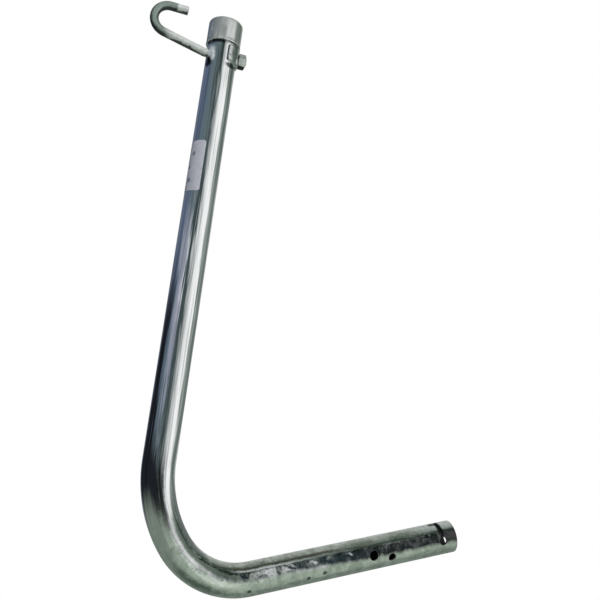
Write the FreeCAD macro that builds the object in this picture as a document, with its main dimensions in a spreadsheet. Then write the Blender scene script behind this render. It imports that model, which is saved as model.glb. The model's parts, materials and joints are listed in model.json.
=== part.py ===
import FreeCAD, Part
import math
import os
import Sketcher
from FreeCAD import Vector

# Cable support bracket: a galvanised tube bent once, with a hook bolt through the top of its upright.
# Frame: +Z up along the upright, the arm in the XZ plane towards +X, the hook towards -X.
# Origin: on the arm's axis, at the centre of the larger cross hole. Millimetres and degrees.

DIMENSIONS = (
    ("tube_od", 42.4, "outside diameter of the tube"),
    ("tube_wall", 3.2, "wall of the tube"),
    ("upright_length", 602.7, "straight length of the upright, from the bend to its top"),
    ("arm_length", 290.0, "straight length of the arm, from the bend to its end"),
    ("arm_rise", 15.0, "slope of the arm above level"),
    ("upper_bend_radius", 162.0, "centreline radius where the bend leaves the upright"),
    ("upper_bend_turn", 37.8, "turn made on the upper radius"),
    ("lower_bend_radius", 96.0, "centreline radius where the bend meets the arm"),
    ("bolt_hole_from_end", 124.0, "larger cross hole, from the arm's end"),
    ("bolt_hole_dia", 13.0, "larger cross hole"),
    ("second_hole_from_end", 98.5, "smaller cross hole, from the arm's end"),
    ("second_hole_dia", 11.0, "smaller cross hole"),
    ("second_hole_tilt", 19.0, "turn of the smaller cross hole about the arm's axis"),
    ("notch_from_end", 21.0, "end hole and saw cut, from the arm's end"),
    ("notch_hole_dia", 11.0, "hole at the foot of the saw cut"),
    ("notch_width", 4.5, "width of the saw cut"),
    ("rod_dia", 12.0, "hook rod"),
    ("rod_hole_dia", 13.0, "holes for the hook rod, in the tube and the saddle washer"),
    ("rod_below_top", 47.2, "hook rod's axis, below the tube's top"),
    ("rod_end", 35.3, "threaded end of the rod, from the upright's axis"),
    ("rod_end_chamfer", 1.5, "chamfer of the threaded end"),
    ("crank_start", 22.5, "start of the crank, from the upright's axis"),
    ("crank_radius", 18.0, "centreline radius of the crank"),
    ("crank_angle", 13.0, "rise of the shank after the crank"),
    ("hook_radius", 20.5, "centreline radius of the hook's curl"),
    ("hook_reach", 99.2, "outermost point of the hook's centreline, from the upright's axis"),
    ("tip_from_axis", 55.0, "hook's tip, from the upright's axis"),
    ("tip_chamfer", 0.8, "broken edge of the hook's tip"),
    ("cap_overlap", 32.7, "length of tube inside the cap"),
    ("cap_bore_dia", 42.6, "inside diameter of the cap"),
    ("cap_wall", 2.5, "wall of the cap"),
    ("cap_height", 35.7, "cap's rim to its top"),
    ("cap_edge_round", 4.5, "rounding of the cap's upper edge"),
    ("cap_lip", 0.3, "how far the rim's lip stands out"),
    ("cap_lip_height", 2.0, "height of the rim's lip"),
    ("saddle_thick", 3.0, "thickness of the saddle washer"),
    ("saddle_height", 24.0, "height of the saddle washer along the upright"),
    ("saddle_wrap", 150.0, "angle that the saddle washer covers round the tube"),
    ("saddle_corner", 3.0, "rounding of the saddle washer's corners"),
    ("seat_from_axis", 23.8, "flat on the saddle's crown where the nut bears, from the upright's axis"),
    ("nut_flats", 19.0, "nut across flats"),
    ("nut_height", 10.0, "height of the nut"),
    ("nut_bore", 12.1, "bore of the nut"),
    ("nut_face_dia", 18.0, "round face left by the nut's corner chamfers"),
    ("nut_chamfer_angle", 30.0, "slope of the nut's corner chamfers"),
    ("label_height", 71.0, "label along the upright"),
    ("label_width", 50.0, "label round the tube"),
    ("label_thick", 0.15, "thickness of the label"),
    ("label_below_top", 217.2, "label's middle, below the tube's top"),
    ("label_edge_turn", 14.7, "label's leading edge, turned from the front towards the hook's side"),
)

doc = FreeCAD.newDocument("cable_support_bracket")
sheet = doc.addObject("Spreadsheet::Sheet", "sizes")
size = {}
for row, (alias, value, meaning) in enumerate(DIMENSIONS, start=1):
    sheet.set("A%d" % row, meaning)
    sheet.set("B%d" % row, str(value))
    sheet.setAlias("B%d" % row, alias)
    size[alias] = value
doc.recompute()

# The upright's axis and the foot of its straight part follow from the arm and the two bend radii.
ARM_BEFORE_BEND = "(sizes.arm_length - sizes.bolt_hole_from_end)"
RADIUS_STEP = "(sizes.upper_bend_radius - sizes.lower_bend_radius)"
RISE = "sizes.arm_rise * 1 deg"
TURN = "sizes.upper_bend_turn * 1 deg"
UPRIGHT_X = "(-%s * cos(%s) - sizes.lower_bend_radius * sin(%s) + %s * cos(%s) - sizes.upper_bend_radius)" % (
    ARM_BEFORE_BEND, RISE, RISE, RADIUS_STEP, TURN)
UPRIGHT_TOP = "(-%s * sin(%s) + sizes.lower_bend_radius * cos(%s) + %s * sin(%s) + sizes.upright_length)" % (
    ARM_BEFORE_BEND, RISE, RISE, RADIUS_STEP, TURN)
ROD_HEIGHT = "(%s - sizes.rod_below_top)" % UPRIGHT_TOP


def polar(radius, angle):
    """Point in a sketch at an angle in degrees."""
    return Vector(radius * math.cos(math.radians(angle)), radius * math.sin(math.radians(angle)), 0)


def new_body(name, x="0", z="0"):
    """Body with its label, placed by expressions in the XZ plane."""
    body = doc.addObject("PartDesign::Body", name)
    body.Label = name
    body.setExpression("Placement.Base.x", x)
    body.setExpression("Placement.Base.z", z)
    return body


def new_sketch(body, name, plane, offset=None):
    """Sketch on one of the body's own origin planes, with an optional offset expression."""
    sketch = body.newObject("Sketcher::SketchObject", name)
    support = [item for item in body.Origin.OriginFeatures if item.Role == plane][0]
    sketch.AttachmentSupport = (support, [""])
    sketch.MapMode = "FlatFace"
    if offset:
        sketch.setExpression("AttachmentOffset", offset)
    return sketch


def rule(sketch, name, expression, *constraint):
    """Dimensional constraint driven by the sheet."""
    index = sketch.addConstraint(Sketcher.Constraint(*constraint))
    sketch.renameConstraint(index, name)
    sketch.setExpression("Constraints." + name, expression)


def tie(sketch, *constraint):
    """Geometric constraint."""
    sketch.addConstraint(Sketcher.Constraint(*constraint))


def add_circle(sketch, name, diameter, place, value, x_rule=None, y_rule=None):
    """Circle with a driven diameter, on the sketch's axes unless a rule places it."""
    circle = sketch.addGeometry(Part.Circle(place, Vector(0, 0, 1), value / 2))
    rule(sketch, name + "_dia", diameter, "Diameter", circle, value)
    if x_rule:
        rule(sketch, name + "_x", x_rule, "DistanceX", -1, 1, circle, 3, place.x)
    else:
        tie(sketch, "PointOnObject", circle, 3, -2)
    if y_rule:
        rule(sketch, name + "_y", y_rule, "DistanceY", -1, 1, circle, 3, place.y)
    else:
        tie(sketch, "PointOnObject", circle, 3, -1)
    return circle


def add_outline(sketch, points):
    """Closed outline of straight lines, joined end to end."""
    lines = []
    for start, end in zip(points, points[1:] + points[:1]):
        lines.append(sketch.addGeometry(Part.LineSegment(start, end)))
    for first, second in zip(lines, lines[1:] + lines[:1]):
        tie(sketch, "Coincident", first, 2, second, 1)
    return lines


def cut_through(body, name, sketch):
    """Pocket both ways through the body, which has to take material away."""
    doc.recompute()
    before = body.Shape.Volume
    pocket = body.newObject("PartDesign::Pocket", name)
    pocket.Profile = sketch
    pocket.Type = "ThroughAll"
    pocket.SideType = "Symmetric"
    doc.recompute()
    if body.Shape.Volume > before - 1:
        raise RuntimeError(name + " cuts nothing")
    return pocket


def sweep(body, name, section, path, edges):
    """Pipe of a section along the first edges of a path sketch."""
    pipe = body.newObject("PartDesign::AdditivePipe", name)
    pipe.Profile = section
    pipe.Spine = (path, ["Edge%d" % number for number in range(1, edges + 1)])
    doc.recompute()
    return pipe


def edges_near(shape, test):
    """Names of the edges whose middle point passes a test."""
    names = []
    for number, edge in enumerate(shape.Edges, start=1):
        middle = edge.valueAt((edge.FirstParameter + edge.LastParameter) / 2)
        if test(middle, edge):
            names.append("Edge%d" % number)
    return names


def dress(body, kind, name, base, edges, amount, expression):
    """Fillet or chamfer on named edges of the last feature."""
    feature = body.newObject("PartDesign::" + kind, name)
    feature.Base = (base, edges)
    driven = "Radius" if kind == "Fillet" else "Size"
    setattr(feature, driven, amount)
    feature.setExpression(driven, expression)
    doc.recompute()
    return feature


def make_bent_tube():
    body = new_body("bent_tube")
    axis_path = new_sketch(body, "tube_axis", "XZ_Plane")
    rise, turn = size["arm_rise"], size["upper_bend_turn"]
    upper, lower = size["upper_bend_radius"], size["lower_bend_radius"]
    arm_end = polar(size["bolt_hole_from_end"], rise)
    arm_start = polar(size["bolt_hole_from_end"] - size["arm_length"], rise)
    lower_centre = arm_start + polar(lower, 90 + rise)
    upper_centre = lower_centre + polar(upper - lower, turn)
    foot = upper_centre - Vector(upper, 0, 0)
    top = foot + Vector(0, size["upright_length"], 0)

    def arc(centre, radius, first, last):
        circle = Part.Circle(centre, Vector(0, 0, 1), radius)
        return axis_path.addGeometry(Part.ArcOfCircle(circle, math.radians(first), math.radians(last)))

    upright = axis_path.addGeometry(Part.LineSegment(top, foot))
    upper_arc = arc(upper_centre, upper, 180, 180 + turn)
    lower_arc = arc(lower_centre, lower, 180 + turn, 270 + rise)
    arm = axis_path.addGeometry(Part.LineSegment(arm_start, arm_end))
    tie(axis_path, "Tangent", upright, 2, upper_arc, 1)
    tie(axis_path, "Tangent", upper_arc, 2, lower_arc, 1)
    tie(axis_path, "Tangent", lower_arc, 2, arm, 1)
    tie(axis_path, "Vertical", upright)
    tie(axis_path, "PointOnObject", -1, 1, arm)
    rule(axis_path, "upright_length", "sizes.upright_length", "Distance", upright, size["upright_length"])
    rule(axis_path, "arm_length", "sizes.arm_length", "Distance", arm, size["arm_length"])
    rule(axis_path, "arm_reach", "sizes.bolt_hole_from_end", "Distance", -1, 1, arm, 2,
         size["bolt_hole_from_end"])
    rule(axis_path, "arm_rise", RISE, "Angle", -1, 1, arm, 1, math.radians(rise))
    rule(axis_path, "upper_radius", "sizes.upper_bend_radius", "Radius", upper_arc, upper)
    rule(axis_path, "lower_radius", "sizes.lower_bend_radius", "Radius", lower_arc, lower)
    rule(axis_path, "upper_turn", TURN, "Angle", upper_arc, math.radians(turn))

    section = new_sketch(body, "tube_section", "XY_Plane",
                         "placement(vector(%s; 0; %s); rotation(0; 0; 0))" % (UPRIGHT_X, UPRIGHT_TOP))
    middle = Vector(0, 0, 0)
    add_circle(section, "outside", "sizes.tube_od", middle, size["tube_od"])
    add_circle(section, "inside", "sizes.tube_od - 2 * sizes.tube_wall", middle,
               size["tube_od"] - 2 * size["tube_wall"])
    sweep(body, "tube", section, axis_path, 4)

    # Sketches along the arm have their X axis on the arm's axis, from the larger cross hole.
    along_arm = "placement(vector(0; 0; 0); rotation(sizes.arm_rise; 0; 0))"
    second_plane = "placement(vector(0; 0; 0); rotation(sizes.arm_rise; 0; sizes.second_hole_tilt))"
    second_x = size["bolt_hole_from_end"] - size["second_hole_from_end"]
    notch_x = size["bolt_hole_from_end"] - size["notch_from_end"]
    cross_holes = new_sketch(body, "cross_holes", "XZ_Plane", along_arm)
    add_circle(cross_holes, "bolt", "sizes.bolt_hole_dia", middle, size["bolt_hole_dia"])
    add_circle(cross_holes, "notch", "sizes.notch_hole_dia", Vector(notch_x, 0, 0), size["notch_hole_dia"],
               x_rule="sizes.bolt_hole_from_end - sizes.notch_from_end")
    cut_through(body, "drilled_cross_holes", cross_holes)

    second_hole = new_sketch(body, "second_hole", "XZ_Plane", second_plane)
    add_circle(second_hole, "second", "sizes.second_hole_dia", Vector(second_x, 0, 0), size["second_hole_dia"],
               x_rule="sizes.bolt_hole_from_end - sizes.second_hole_from_end")
    cut_through(body, "drilled_second_hole", second_hole)

    # The saw cut goes down through the arm's upper half, as far as its end hole.
    saw_cut = new_sketch(body, "saw_cut", "XZ_Plane", along_arm)
    half = size["notch_width"] / 2
    clear = size["tube_od"] * 0.6
    left, right = notch_x - half, notch_x + half
    lines = add_outline(saw_cut, [Vector(left, 0, 0), Vector(right, 0, 0), Vector(right, clear, 0),
                                  Vector(left, clear, 0)])
    tie(saw_cut, "PointOnObject", lines[0], 1, -1)
    tie(saw_cut, "Horizontal", lines[0])
    tie(saw_cut, "Vertical", lines[1])
    tie(saw_cut, "Horizontal", lines[2])
    tie(saw_cut, "Vertical", lines[3])
    rule(saw_cut, "width", "sizes.notch_width", "DistanceX", lines[0], 1, lines[0], 2, size["notch_width"])
    rule(saw_cut, "place", "sizes.bolt_hole_from_end - sizes.notch_from_end - sizes.notch_width / 2",
         "DistanceX", -1, 1, lines[0], 1, left)
    rule(saw_cut, "depth", "0.6 * sizes.tube_od", "DistanceY", lines[1], 1, lines[1], 2, clear)
    cut_through(body, "sawn_notch", saw_cut)

    # The hook rod passes straight through both walls of the upright.
    rod_height = top.y - size["rod_below_top"]
    rod_holes = new_sketch(body, "rod_holes", "YZ_Plane")
    add_circle(rod_holes, "rod", "sizes.rod_hole_dia", Vector(0, rod_height, 0), size["rod_hole_dia"],
               y_rule=ROD_HEIGHT)
    cut_through(body, "drilled_rod_holes", rod_holes)
    return body


def make_end_cap():
    body = new_body("end_cap", UPRIGHT_X, "%s - sizes.cap_overlap" % UPRIGHT_TOP)
    profile = new_sketch(body, "cap_profile", "XZ_Plane")
    bore = size["cap_bore_dia"] / 2
    outer = bore + size["cap_wall"]
    lip = outer + size["cap_lip"]
    shoulder = size["cap_lip_height"] + size["cap_lip"]
    crown, inside = size["cap_height"], size["cap_overlap"]
    edge_round = size["cap_edge_round"]
    round_x, round_y = outer - edge_round, crown - edge_round
    corners = [Vector(0, inside, 0), Vector(bore, inside, 0), Vector(bore, 0, 0), Vector(lip, 0, 0),
               Vector(lip, size["cap_lip_height"], 0), Vector(outer, shoulder, 0), Vector(outer, round_y, 0)]
    lines = []
    for start, end in zip(corners, corners[1:]):
        lines.append(profile.addGeometry(Part.LineSegment(start, end)))
    # Three equal bevels on a guide arc stand for the rounded upper edge.
    round_centre = Vector(round_x, round_y, 0)
    guide_circle = Part.Circle(round_centre, Vector(0, 0, 1), edge_round)
    upper_edge = profile.addGeometry(Part.ArcOfCircle(guide_circle, 0, math.pi / 2), True)
    steps = [round_centre + polar(edge_round, turn) for turn in (0, 30, 60, 90)]
    bevels = [profile.addGeometry(Part.LineSegment(start, end)) for start, end in zip(steps, steps[1:])]
    top = profile.addGeometry(Part.LineSegment(Vector(round_x, crown, 0), Vector(0, crown, 0)))
    middle = profile.addGeometry(Part.LineSegment(Vector(0, crown, 0), corners[0]))
    outline = lines + bevels + [top, middle]
    for first, second in zip(outline, outline[1:] + outline[:1]):
        tie(profile, "Coincident", first, 2, second, 1)
    tie(profile, "Tangent", lines[-1], 2, upper_edge, 1)
    tie(profile, "Tangent", upper_edge, 2, top, 1)
    for first, second in zip(bevels, bevels[1:]):
        tie(profile, "PointOnObject", first, 2, upper_edge)
        tie(profile, "Equal", first, second)
    tie(profile, "Horizontal", top)
    tie(profile, "PointOnObject", middle, 1, -2)
    tie(profile, "PointOnObject", middle, 2, -2)
    tie(profile, "PointOnObject", lines[2], 1, -1)
    for line in (lines[0], lines[2]):
        tie(profile, "Horizontal", line)
    for line in (lines[1], lines[3], lines[5]):
        tie(profile, "Vertical", line)
    rule(profile, "bore", "sizes.cap_bore_dia / 2", "DistanceX", lines[0], 1, lines[0], 2, bore)
    rule(profile, "rim", "sizes.cap_wall + sizes.cap_lip", "DistanceX", lines[2], 1, lines[2], 2, lip - bore)
    rule(profile, "lip_height", "sizes.cap_lip_height", "DistanceY", lines[3], 1, lines[3], 2,
         size["cap_lip_height"])
    rule(profile, "lip_slope_x", "sizes.cap_lip", "DistanceX", lines[4], 2, lines[4], 1, size["cap_lip"])
    rule(profile, "lip_slope_y", "sizes.cap_lip", "DistanceY", lines[4], 1, lines[4], 2, size["cap_lip"])
    rule(profile, "edge_round", "sizes.cap_edge_round", "Radius", upper_edge, edge_round)
    rule(profile, "crown_height", "sizes.cap_height", "DistanceY", -1, 1, top, 2, crown)
    rule(profile, "depth", "sizes.cap_overlap", "DistanceY", lines[1], 2, lines[1], 1, inside)
    turned = body.newObject("PartDesign::Revolution", "turned_cap")
    turned.Profile = profile
    turned.ReferenceAxis = (profile, ["V_Axis"])
    turned.Angle = 360
    doc.recompute()
    return body


def make_hook():
    body = new_body("hook", UPRIGHT_X, ROD_HEIGHT)
    path = new_sketch(body, "hook_path", "XZ_Plane")
    angle, bend, curl = size["crank_angle"], size["crank_radius"], size["hook_radius"]
    crank_centre = Vector(-size["crank_start"], bend, 0)
    shank_start = crank_centre + polar(bend, 270 - angle)
    curl_x = curl - size["hook_reach"]
    # The shank's tangent fixes the height of the curl's middle.
    run = shank_start.x - curl_x
    slope = math.radians(angle)
    curl_y = shank_start.y + (curl + run * math.sin(slope)) / math.cos(slope)
    curl_centre = Vector(curl_x, curl_y, 0)
    curl_start = curl_centre + polar(curl, 270 - angle)
    curl_end = curl_centre + Vector(0, curl, 0)
    tip = Vector(-size["tip_from_axis"], curl_end.y, 0)
    rod_end = Vector(size["rod_end"], 0, 0)
    crank_begin = Vector(-size["crank_start"], 0, 0)

    def arc(centre, radius, first, last):
        circle = Part.Circle(centre, Vector(0, 0, 1), radius)
        return path.addGeometry(Part.ArcOfCircle(circle, math.radians(first), math.radians(last)))

    through = path.addGeometry(Part.LineSegment(rod_end, crank_begin))
    crank = arc(crank_centre, bend, 270 - angle, 270)
    shank = path.addGeometry(Part.LineSegment(shank_start, curl_start))
    round_part = arc(curl_centre, curl, 90, 270 - angle)
    tip_part = path.addGeometry(Part.LineSegment(curl_end, tip))
    tie(path, "Tangent", through, 2, crank, 2)
    tie(path, "Tangent", crank, 1, shank, 1)
    tie(path, "Tangent", shank, 2, round_part, 2)
    tie(path, "Tangent", round_part, 1, tip_part, 1)
    tie(path, "PointOnObject", through, 1, -1)
    tie(path, "Horizontal", through)
    tie(path, "Horizontal", tip_part)
    rule(path, "rod_end", "sizes.rod_end", "DistanceX", -1, 1, through, 1, size["rod_end"])
    rule(path, "crank_start", "sizes.crank_start", "DistanceX", through, 2, -1, 1, size["crank_start"])
    rule(path, "crank_radius", "sizes.crank_radius", "Radius", crank, bend)
    rule(path, "crank_angle", "sizes.crank_angle * 1 deg", "Angle", crank, slope)
    rule(path, "hook_radius", "sizes.hook_radius", "Radius", round_part, curl)
    rule(path, "hook_reach", "sizes.hook_reach - sizes.hook_radius", "DistanceX", round_part, 3, -1, 1, -curl_x)
    rule(path, "tip", "sizes.tip_from_axis", "DistanceX", tip_part, 2, -1, 1, size["tip_from_axis"])

    section = new_sketch(body, "rod_section", "YZ_Plane",
                         "placement(vector(0; 0; sizes.rod_end); rotation(0; 0; 0))")
    add_circle(section, "rod", "sizes.rod_dia", Vector(0, 0, 0), size["rod_dia"])
    rod = sweep(body, "bent_rod", section, path, 5)
    threaded_end = edges_near(rod.Shape, lambda point, edge: abs(point.x - size["rod_end"]) < 0.01)
    chamfered = dress(body, "Chamfer", "chamfered_end", rod, threaded_end, size["rod_end_chamfer"],
                      "sizes.rod_end_chamfer")
    tip_edge = edges_near(chamfered.Shape, lambda point, edge: abs(point.x - tip.x) < 0.01
                          and point.z > curl_centre.y)
    dress(body, "Chamfer", "chamfered_tip", chamfered, tip_edge, size["tip_chamfer"], "sizes.tip_chamfer")
    return body


def add_band(sketch, inner, outer, first, last, inner_rule, thick_rule, span_rule, first_rule):
    """Part of a ring between two angles in degrees, about the sketch's origin."""
    axis, zero = Vector(0, 0, 1), Vector(0, 0, 0)
    start, end = math.radians(first), math.radians(last)
    inside = sketch.addGeometry(Part.ArcOfCircle(Part.Circle(zero, axis, inner), start, end))
    outside = sketch.addGeometry(Part.ArcOfCircle(Part.Circle(zero, axis, outer), start, end))
    near = sketch.addGeometry(Part.LineSegment(polar(inner, first), polar(outer, first)))
    far = sketch.addGeometry(Part.LineSegment(polar(inner, last), polar(outer, last)))
    for line, place in ((near, 1), (far, 2)):
        tie(sketch, "Coincident", line, 1, inside, place)
        tie(sketch, "Coincident", line, 2, outside, place)
    for ring in (inside, outside):
        tie(sketch, "Coincident", ring, 3, -1, 1)
    tie(sketch, "PointOnObject", -1, 1, near)
    rule(sketch, "inside_radius", inner_rule, "Radius", inside, inner)
    rule(sketch, "thickness", thick_rule, "Distance", near, outer - inner)
    rule(sketch, "span", span_rule, "Angle", inside, end - start)
    rule(sketch, "outer_span", span_rule, "Angle", outside, end - start)
    rule(sketch, "start_angle", first_rule, "Angle", -1, 1, near, 1, start)


def pad_evenly(body, name, sketch, height, expression):
    """Pad to both sides of its sketch."""
    pad = body.newObject("PartDesign::Pad", name)
    pad.Profile = sketch
    pad.SideType = "Symmetric"
    pad.Length = height
    pad.setExpression("Length", expression)
    doc.recompute()
    return pad


def make_saddle_washer():
    body = new_body("saddle_washer", UPRIGHT_X, ROD_HEIGHT)
    band = new_sketch(body, "saddle_section", "XY_Plane")
    inner = size["tube_od"] / 2
    outer = inner + size["saddle_thick"]
    half_wrap = size["saddle_wrap"] / 2
    add_band(band, inner, outer, -half_wrap, half_wrap, "sizes.tube_od / 2", "sizes.saddle_thick",
             "sizes.saddle_wrap * 1 deg", "-sizes.saddle_wrap / 2 * 1 deg")
    pad = pad_evenly(body, "curved_plate", band, size["saddle_height"], "sizes.saddle_height")
    half_height = size["saddle_height"] / 2
    corners = edges_near(pad.Shape, lambda point, edge: abs(abs(point.z) - half_height) < 0.01
                         and edge.Length < size["saddle_thick"] * 1.01)
    rounded = dress(body, "Fillet", "rounded_corners", pad, corners, size["saddle_corner"], "sizes.saddle_corner")

    # A flat on the crown gives the nut a square seat.
    seat = new_sketch(body, "nut_seat", "XY_Plane")
    low, high, side = size["seat_from_axis"], outer + size["saddle_thick"], outer / 2
    lines = add_outline(seat, [Vector(low, -side, 0), Vector(high, -side, 0), Vector(high, side, 0),
                               Vector(low, side, 0)])
    for line in (lines[0], lines[2]):
        tie(seat, "Horizontal", line)
    for line in (lines[1], lines[3]):
        tie(seat, "Vertical", line)
    rule(seat, "seat", "sizes.seat_from_axis", "DistanceX", -1, 1, lines[0], 1, low)
    rule(seat, "clear", "sizes.tube_od / 2 + 2 * sizes.saddle_thick", "DistanceX", -1, 1, lines[0], 2, high)
    rule(seat, "lower_side", "sizes.tube_od / 4 + sizes.saddle_thick / 2", "DistanceY", lines[0], 1, -1, 1, side)
    rule(seat, "upper_side", "sizes.tube_od / 4 + sizes.saddle_thick / 2", "DistanceY", -1, 1, lines[2], 1, side)
    cut_through(body, "flat_seat", seat)

    hole = new_sketch(body, "saddle_hole", "YZ_Plane")
    add_circle(hole, "rod", "sizes.rod_hole_dia", Vector(0, 0, 0), size["rod_hole_dia"])
    cut_through(body, "drilled_saddle", hole)
    return body


def make_hook_nut():
    body = new_body("hook_nut", UPRIGHT_X, ROD_HEIGHT)
    outline = new_sketch(body, "nut_outline", "YZ_Plane",
                         "placement(vector(0; 0; sizes.seat_from_axis); rotation(0; 0; 0))")
    corner_radius = size["nut_flats"] / math.sqrt(3)
    sides = add_outline(outline, [polar(corner_radius, 90 + 60 * number) for number in range(6)])
    corner_circle = outline.addGeometry(Part.Circle(Vector(0, 0, 0), Vector(0, 0, 1), corner_radius), True)
    tie(outline, "Coincident", corner_circle, 3, -1, 1)
    rule(outline, "corners", "sizes.nut_flats * 2 / sqrt(3)", "Diameter", corner_circle, 2 * corner_radius)
    for side in sides:
        tie(outline, "PointOnObject", side, 1, corner_circle)
    for first, second in zip(sides, sides[1:]):
        tie(outline, "Equal", first, second)
    tie(outline, "PointOnObject", sides[0], 1, -2)
    add_circle(outline, "bore", "sizes.nut_bore", Vector(0, 0, 0), size["nut_bore"])
    pad = body.newObject("PartDesign::Pad", "hexagon")
    pad.Profile = outline
    pad.Length = size["nut_height"]
    pad.setExpression("Length", "sizes.nut_height")
    doc.recompute()

    # Both ends have their corners turned off to a round face.
    turning = new_sketch(body, "corner_chamfers", "XZ_Plane")
    face = size["nut_face_dia"] / 2
    outside = size["nut_flats"] * 0.6
    back = (outside - face) * math.tan(math.radians(size["nut_chamfer_angle"]))
    seat, end = size["seat_from_axis"], size["seat_from_axis"] + size["nut_height"]
    back_rule = "(0.6 * sizes.nut_flats - sizes.nut_face_dia / 2) * tan(sizes.nut_chamfer_angle * 1 deg)"
    end_rule = "sizes.seat_from_axis + sizes.nut_height"
    for name, place, place_rule, inward in (("seat", seat, "sizes.seat_from_axis", 1), ("end", end, end_rule, -1)):
        lines = add_outline(turning, [Vector(place, face, 0), Vector(place, outside, 0),
                                      Vector(place + inward * back, outside, 0)])
        tie(turning, "Vertical", lines[0])
        tie(turning, "Horizontal", lines[1])
        rule(turning, name + "_place", place_rule, "DistanceX", -1, 1, lines[0], 1, place)
        rule(turning, name + "_face", "sizes.nut_face_dia / 2", "DistanceY", -1, 1, lines[0], 1, face)
        rule(turning, name + "_outside", "0.6 * sizes.nut_flats", "DistanceY", -1, 1, lines[0], 2, outside)
        ends = (lines[1], 1, lines[1], 2) if inward > 0 else (lines[1], 2, lines[1], 1)
        rule(turning, name + "_back", back_rule, "DistanceX", *ends, back)
    before = body.Shape.Volume
    groove = body.newObject("PartDesign::Groove", "turned_corners")
    groove.Profile = turning
    groove.ReferenceAxis = (turning, ["H_Axis"])
    groove.Angle = 360
    doc.recompute()
    if body.Shape.Volume > before - 1:
        raise RuntimeError("turned_corners cuts nothing")
    return body


def make_label():
    body = new_body("label", UPRIGHT_X, "%s - sizes.label_below_top" % UPRIGHT_TOP)
    band = new_sketch(body, "label_section", "XY_Plane")
    inner = size["tube_od"] / 2
    span = math.degrees(size["label_width"] / inner)
    last = 270 - size["label_edge_turn"]
    span_rule = "sizes.label_width / (sizes.tube_od / 2) * 180 / pi * 1 deg"
    first_rule = "(270 - sizes.label_edge_turn) * 1 deg - %s" % span_rule
    add_band(band, inner, inner + size["label_thick"], last - span, last, "sizes.tube_od / 2", "sizes.label_thick",
             span_rule, first_rule)
    pad_evenly(body, "sticker", band, size["label_height"], "sizes.label_height")
    return body


def check(parts):
    """Stop if any object failed or any piece is empty, broken or in several solids."""
    for item in doc.Objects:
        if "Invalid" in item.State or "Error" in item.State:
            raise RuntimeError("%s failed: %s" % (item.Name, item.State))
    for part in parts:
        shape = part.Shape
        if shape.isNull() or not shape.isValid() or len(shape.Solids) != 1:
            raise RuntimeError("%s has no sound solid" % part.Label)
        box = shape.BoundBox
        print("%-14s %10.1f mm3  x %.2f to %.2f  y %.2f to %.2f  z %.2f to %.2f" % (
            part.Label, shape.Volume, box.XMin, box.XMax, box.YMin, box.YMax, box.ZMin, box.ZMax))


pieces = [make_bent_tube(), make_end_cap(), make_hook(), make_saddle_washer(), make_hook_nut(), make_label()]
doc.recompute()
check(pieces)
os.makedirs("parts", exist_ok=True)
for piece in pieces:
    piece.Shape.exportStep("parts/%s.step" % piece.Label)
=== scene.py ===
import json
import math
from collections import namedtuple

import bmesh
import bpy
from bpy.props import FloatProperty, FloatVectorProperty, IntProperty, PointerProperty
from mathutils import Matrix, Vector


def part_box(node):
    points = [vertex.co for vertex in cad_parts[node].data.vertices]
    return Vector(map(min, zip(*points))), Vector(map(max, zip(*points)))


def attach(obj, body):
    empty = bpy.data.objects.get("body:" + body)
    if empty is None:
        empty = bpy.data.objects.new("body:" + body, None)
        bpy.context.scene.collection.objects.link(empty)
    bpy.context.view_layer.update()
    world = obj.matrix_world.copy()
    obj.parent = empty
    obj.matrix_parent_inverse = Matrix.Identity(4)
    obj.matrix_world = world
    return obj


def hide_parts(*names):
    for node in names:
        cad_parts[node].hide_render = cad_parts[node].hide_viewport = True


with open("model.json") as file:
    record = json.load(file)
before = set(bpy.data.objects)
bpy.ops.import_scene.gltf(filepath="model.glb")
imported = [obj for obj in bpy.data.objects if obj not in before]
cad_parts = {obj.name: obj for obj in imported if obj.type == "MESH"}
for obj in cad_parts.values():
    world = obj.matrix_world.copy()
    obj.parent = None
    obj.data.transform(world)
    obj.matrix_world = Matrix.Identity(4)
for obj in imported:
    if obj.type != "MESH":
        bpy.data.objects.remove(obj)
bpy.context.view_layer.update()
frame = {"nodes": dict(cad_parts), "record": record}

bl_info = {
    "name": "Cable support bracket",
    "version": (1, 0, 0),
    "blender": (4, 5, 0),
    "location": "View3D > Sidebar > Bracket",
    "description": "Finishes a galvanised tube bracket with a hook bolt, a cap and a plain label",
    "category": "Object",
}


# Places read from the frame

def mount(name):
    """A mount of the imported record."""
    return next(item for item in frame["record"]["mounts"] if item["name"] == name)


def middle(node):
    """Middle of a frame node's box."""
    low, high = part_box(node)
    return (Vector(low) + Vector(high)) / 2


TUBE_RADIUS = mount("arm_spigot")["dims"]["r_mm"] / 1000
ARM = Vector(mount("arm_spigot")["axis"]).normalized()
ARM_UP = Vector((-ARM.z, 0, ARM.x))
UPRIGHT_X = middle("end_cap").x
TUBE_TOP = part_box("bent_tube")[1][2]
CAP_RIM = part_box("end_cap")[0][2]
ROD_HEIGHT = middle("hook_nut").z
LABEL_MIDDLE = middle("label").z
NUT_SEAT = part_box("hook_nut")[0][0] - UPRIGHT_X
NUT_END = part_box("hook_nut")[1][0] - UPRIGHT_X


# Sizes, finishes and studio that a user would change

def length(name, description, default):
    """A length in metres."""
    return FloatProperty(name=name, description=description, default=default, unit="LENGTH", precision=4)


def angle(name, description, degrees):
    """An angle, given in degrees."""
    return FloatProperty(name=name, description=description, default=math.radians(degrees), unit="ROTATION")


def colour(name, description, default):
    """A colour in linear light."""
    return FloatVectorProperty(name=name, description=description, default=default, subtype="COLOR", size=3,
                               min=0, max=4)


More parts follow.
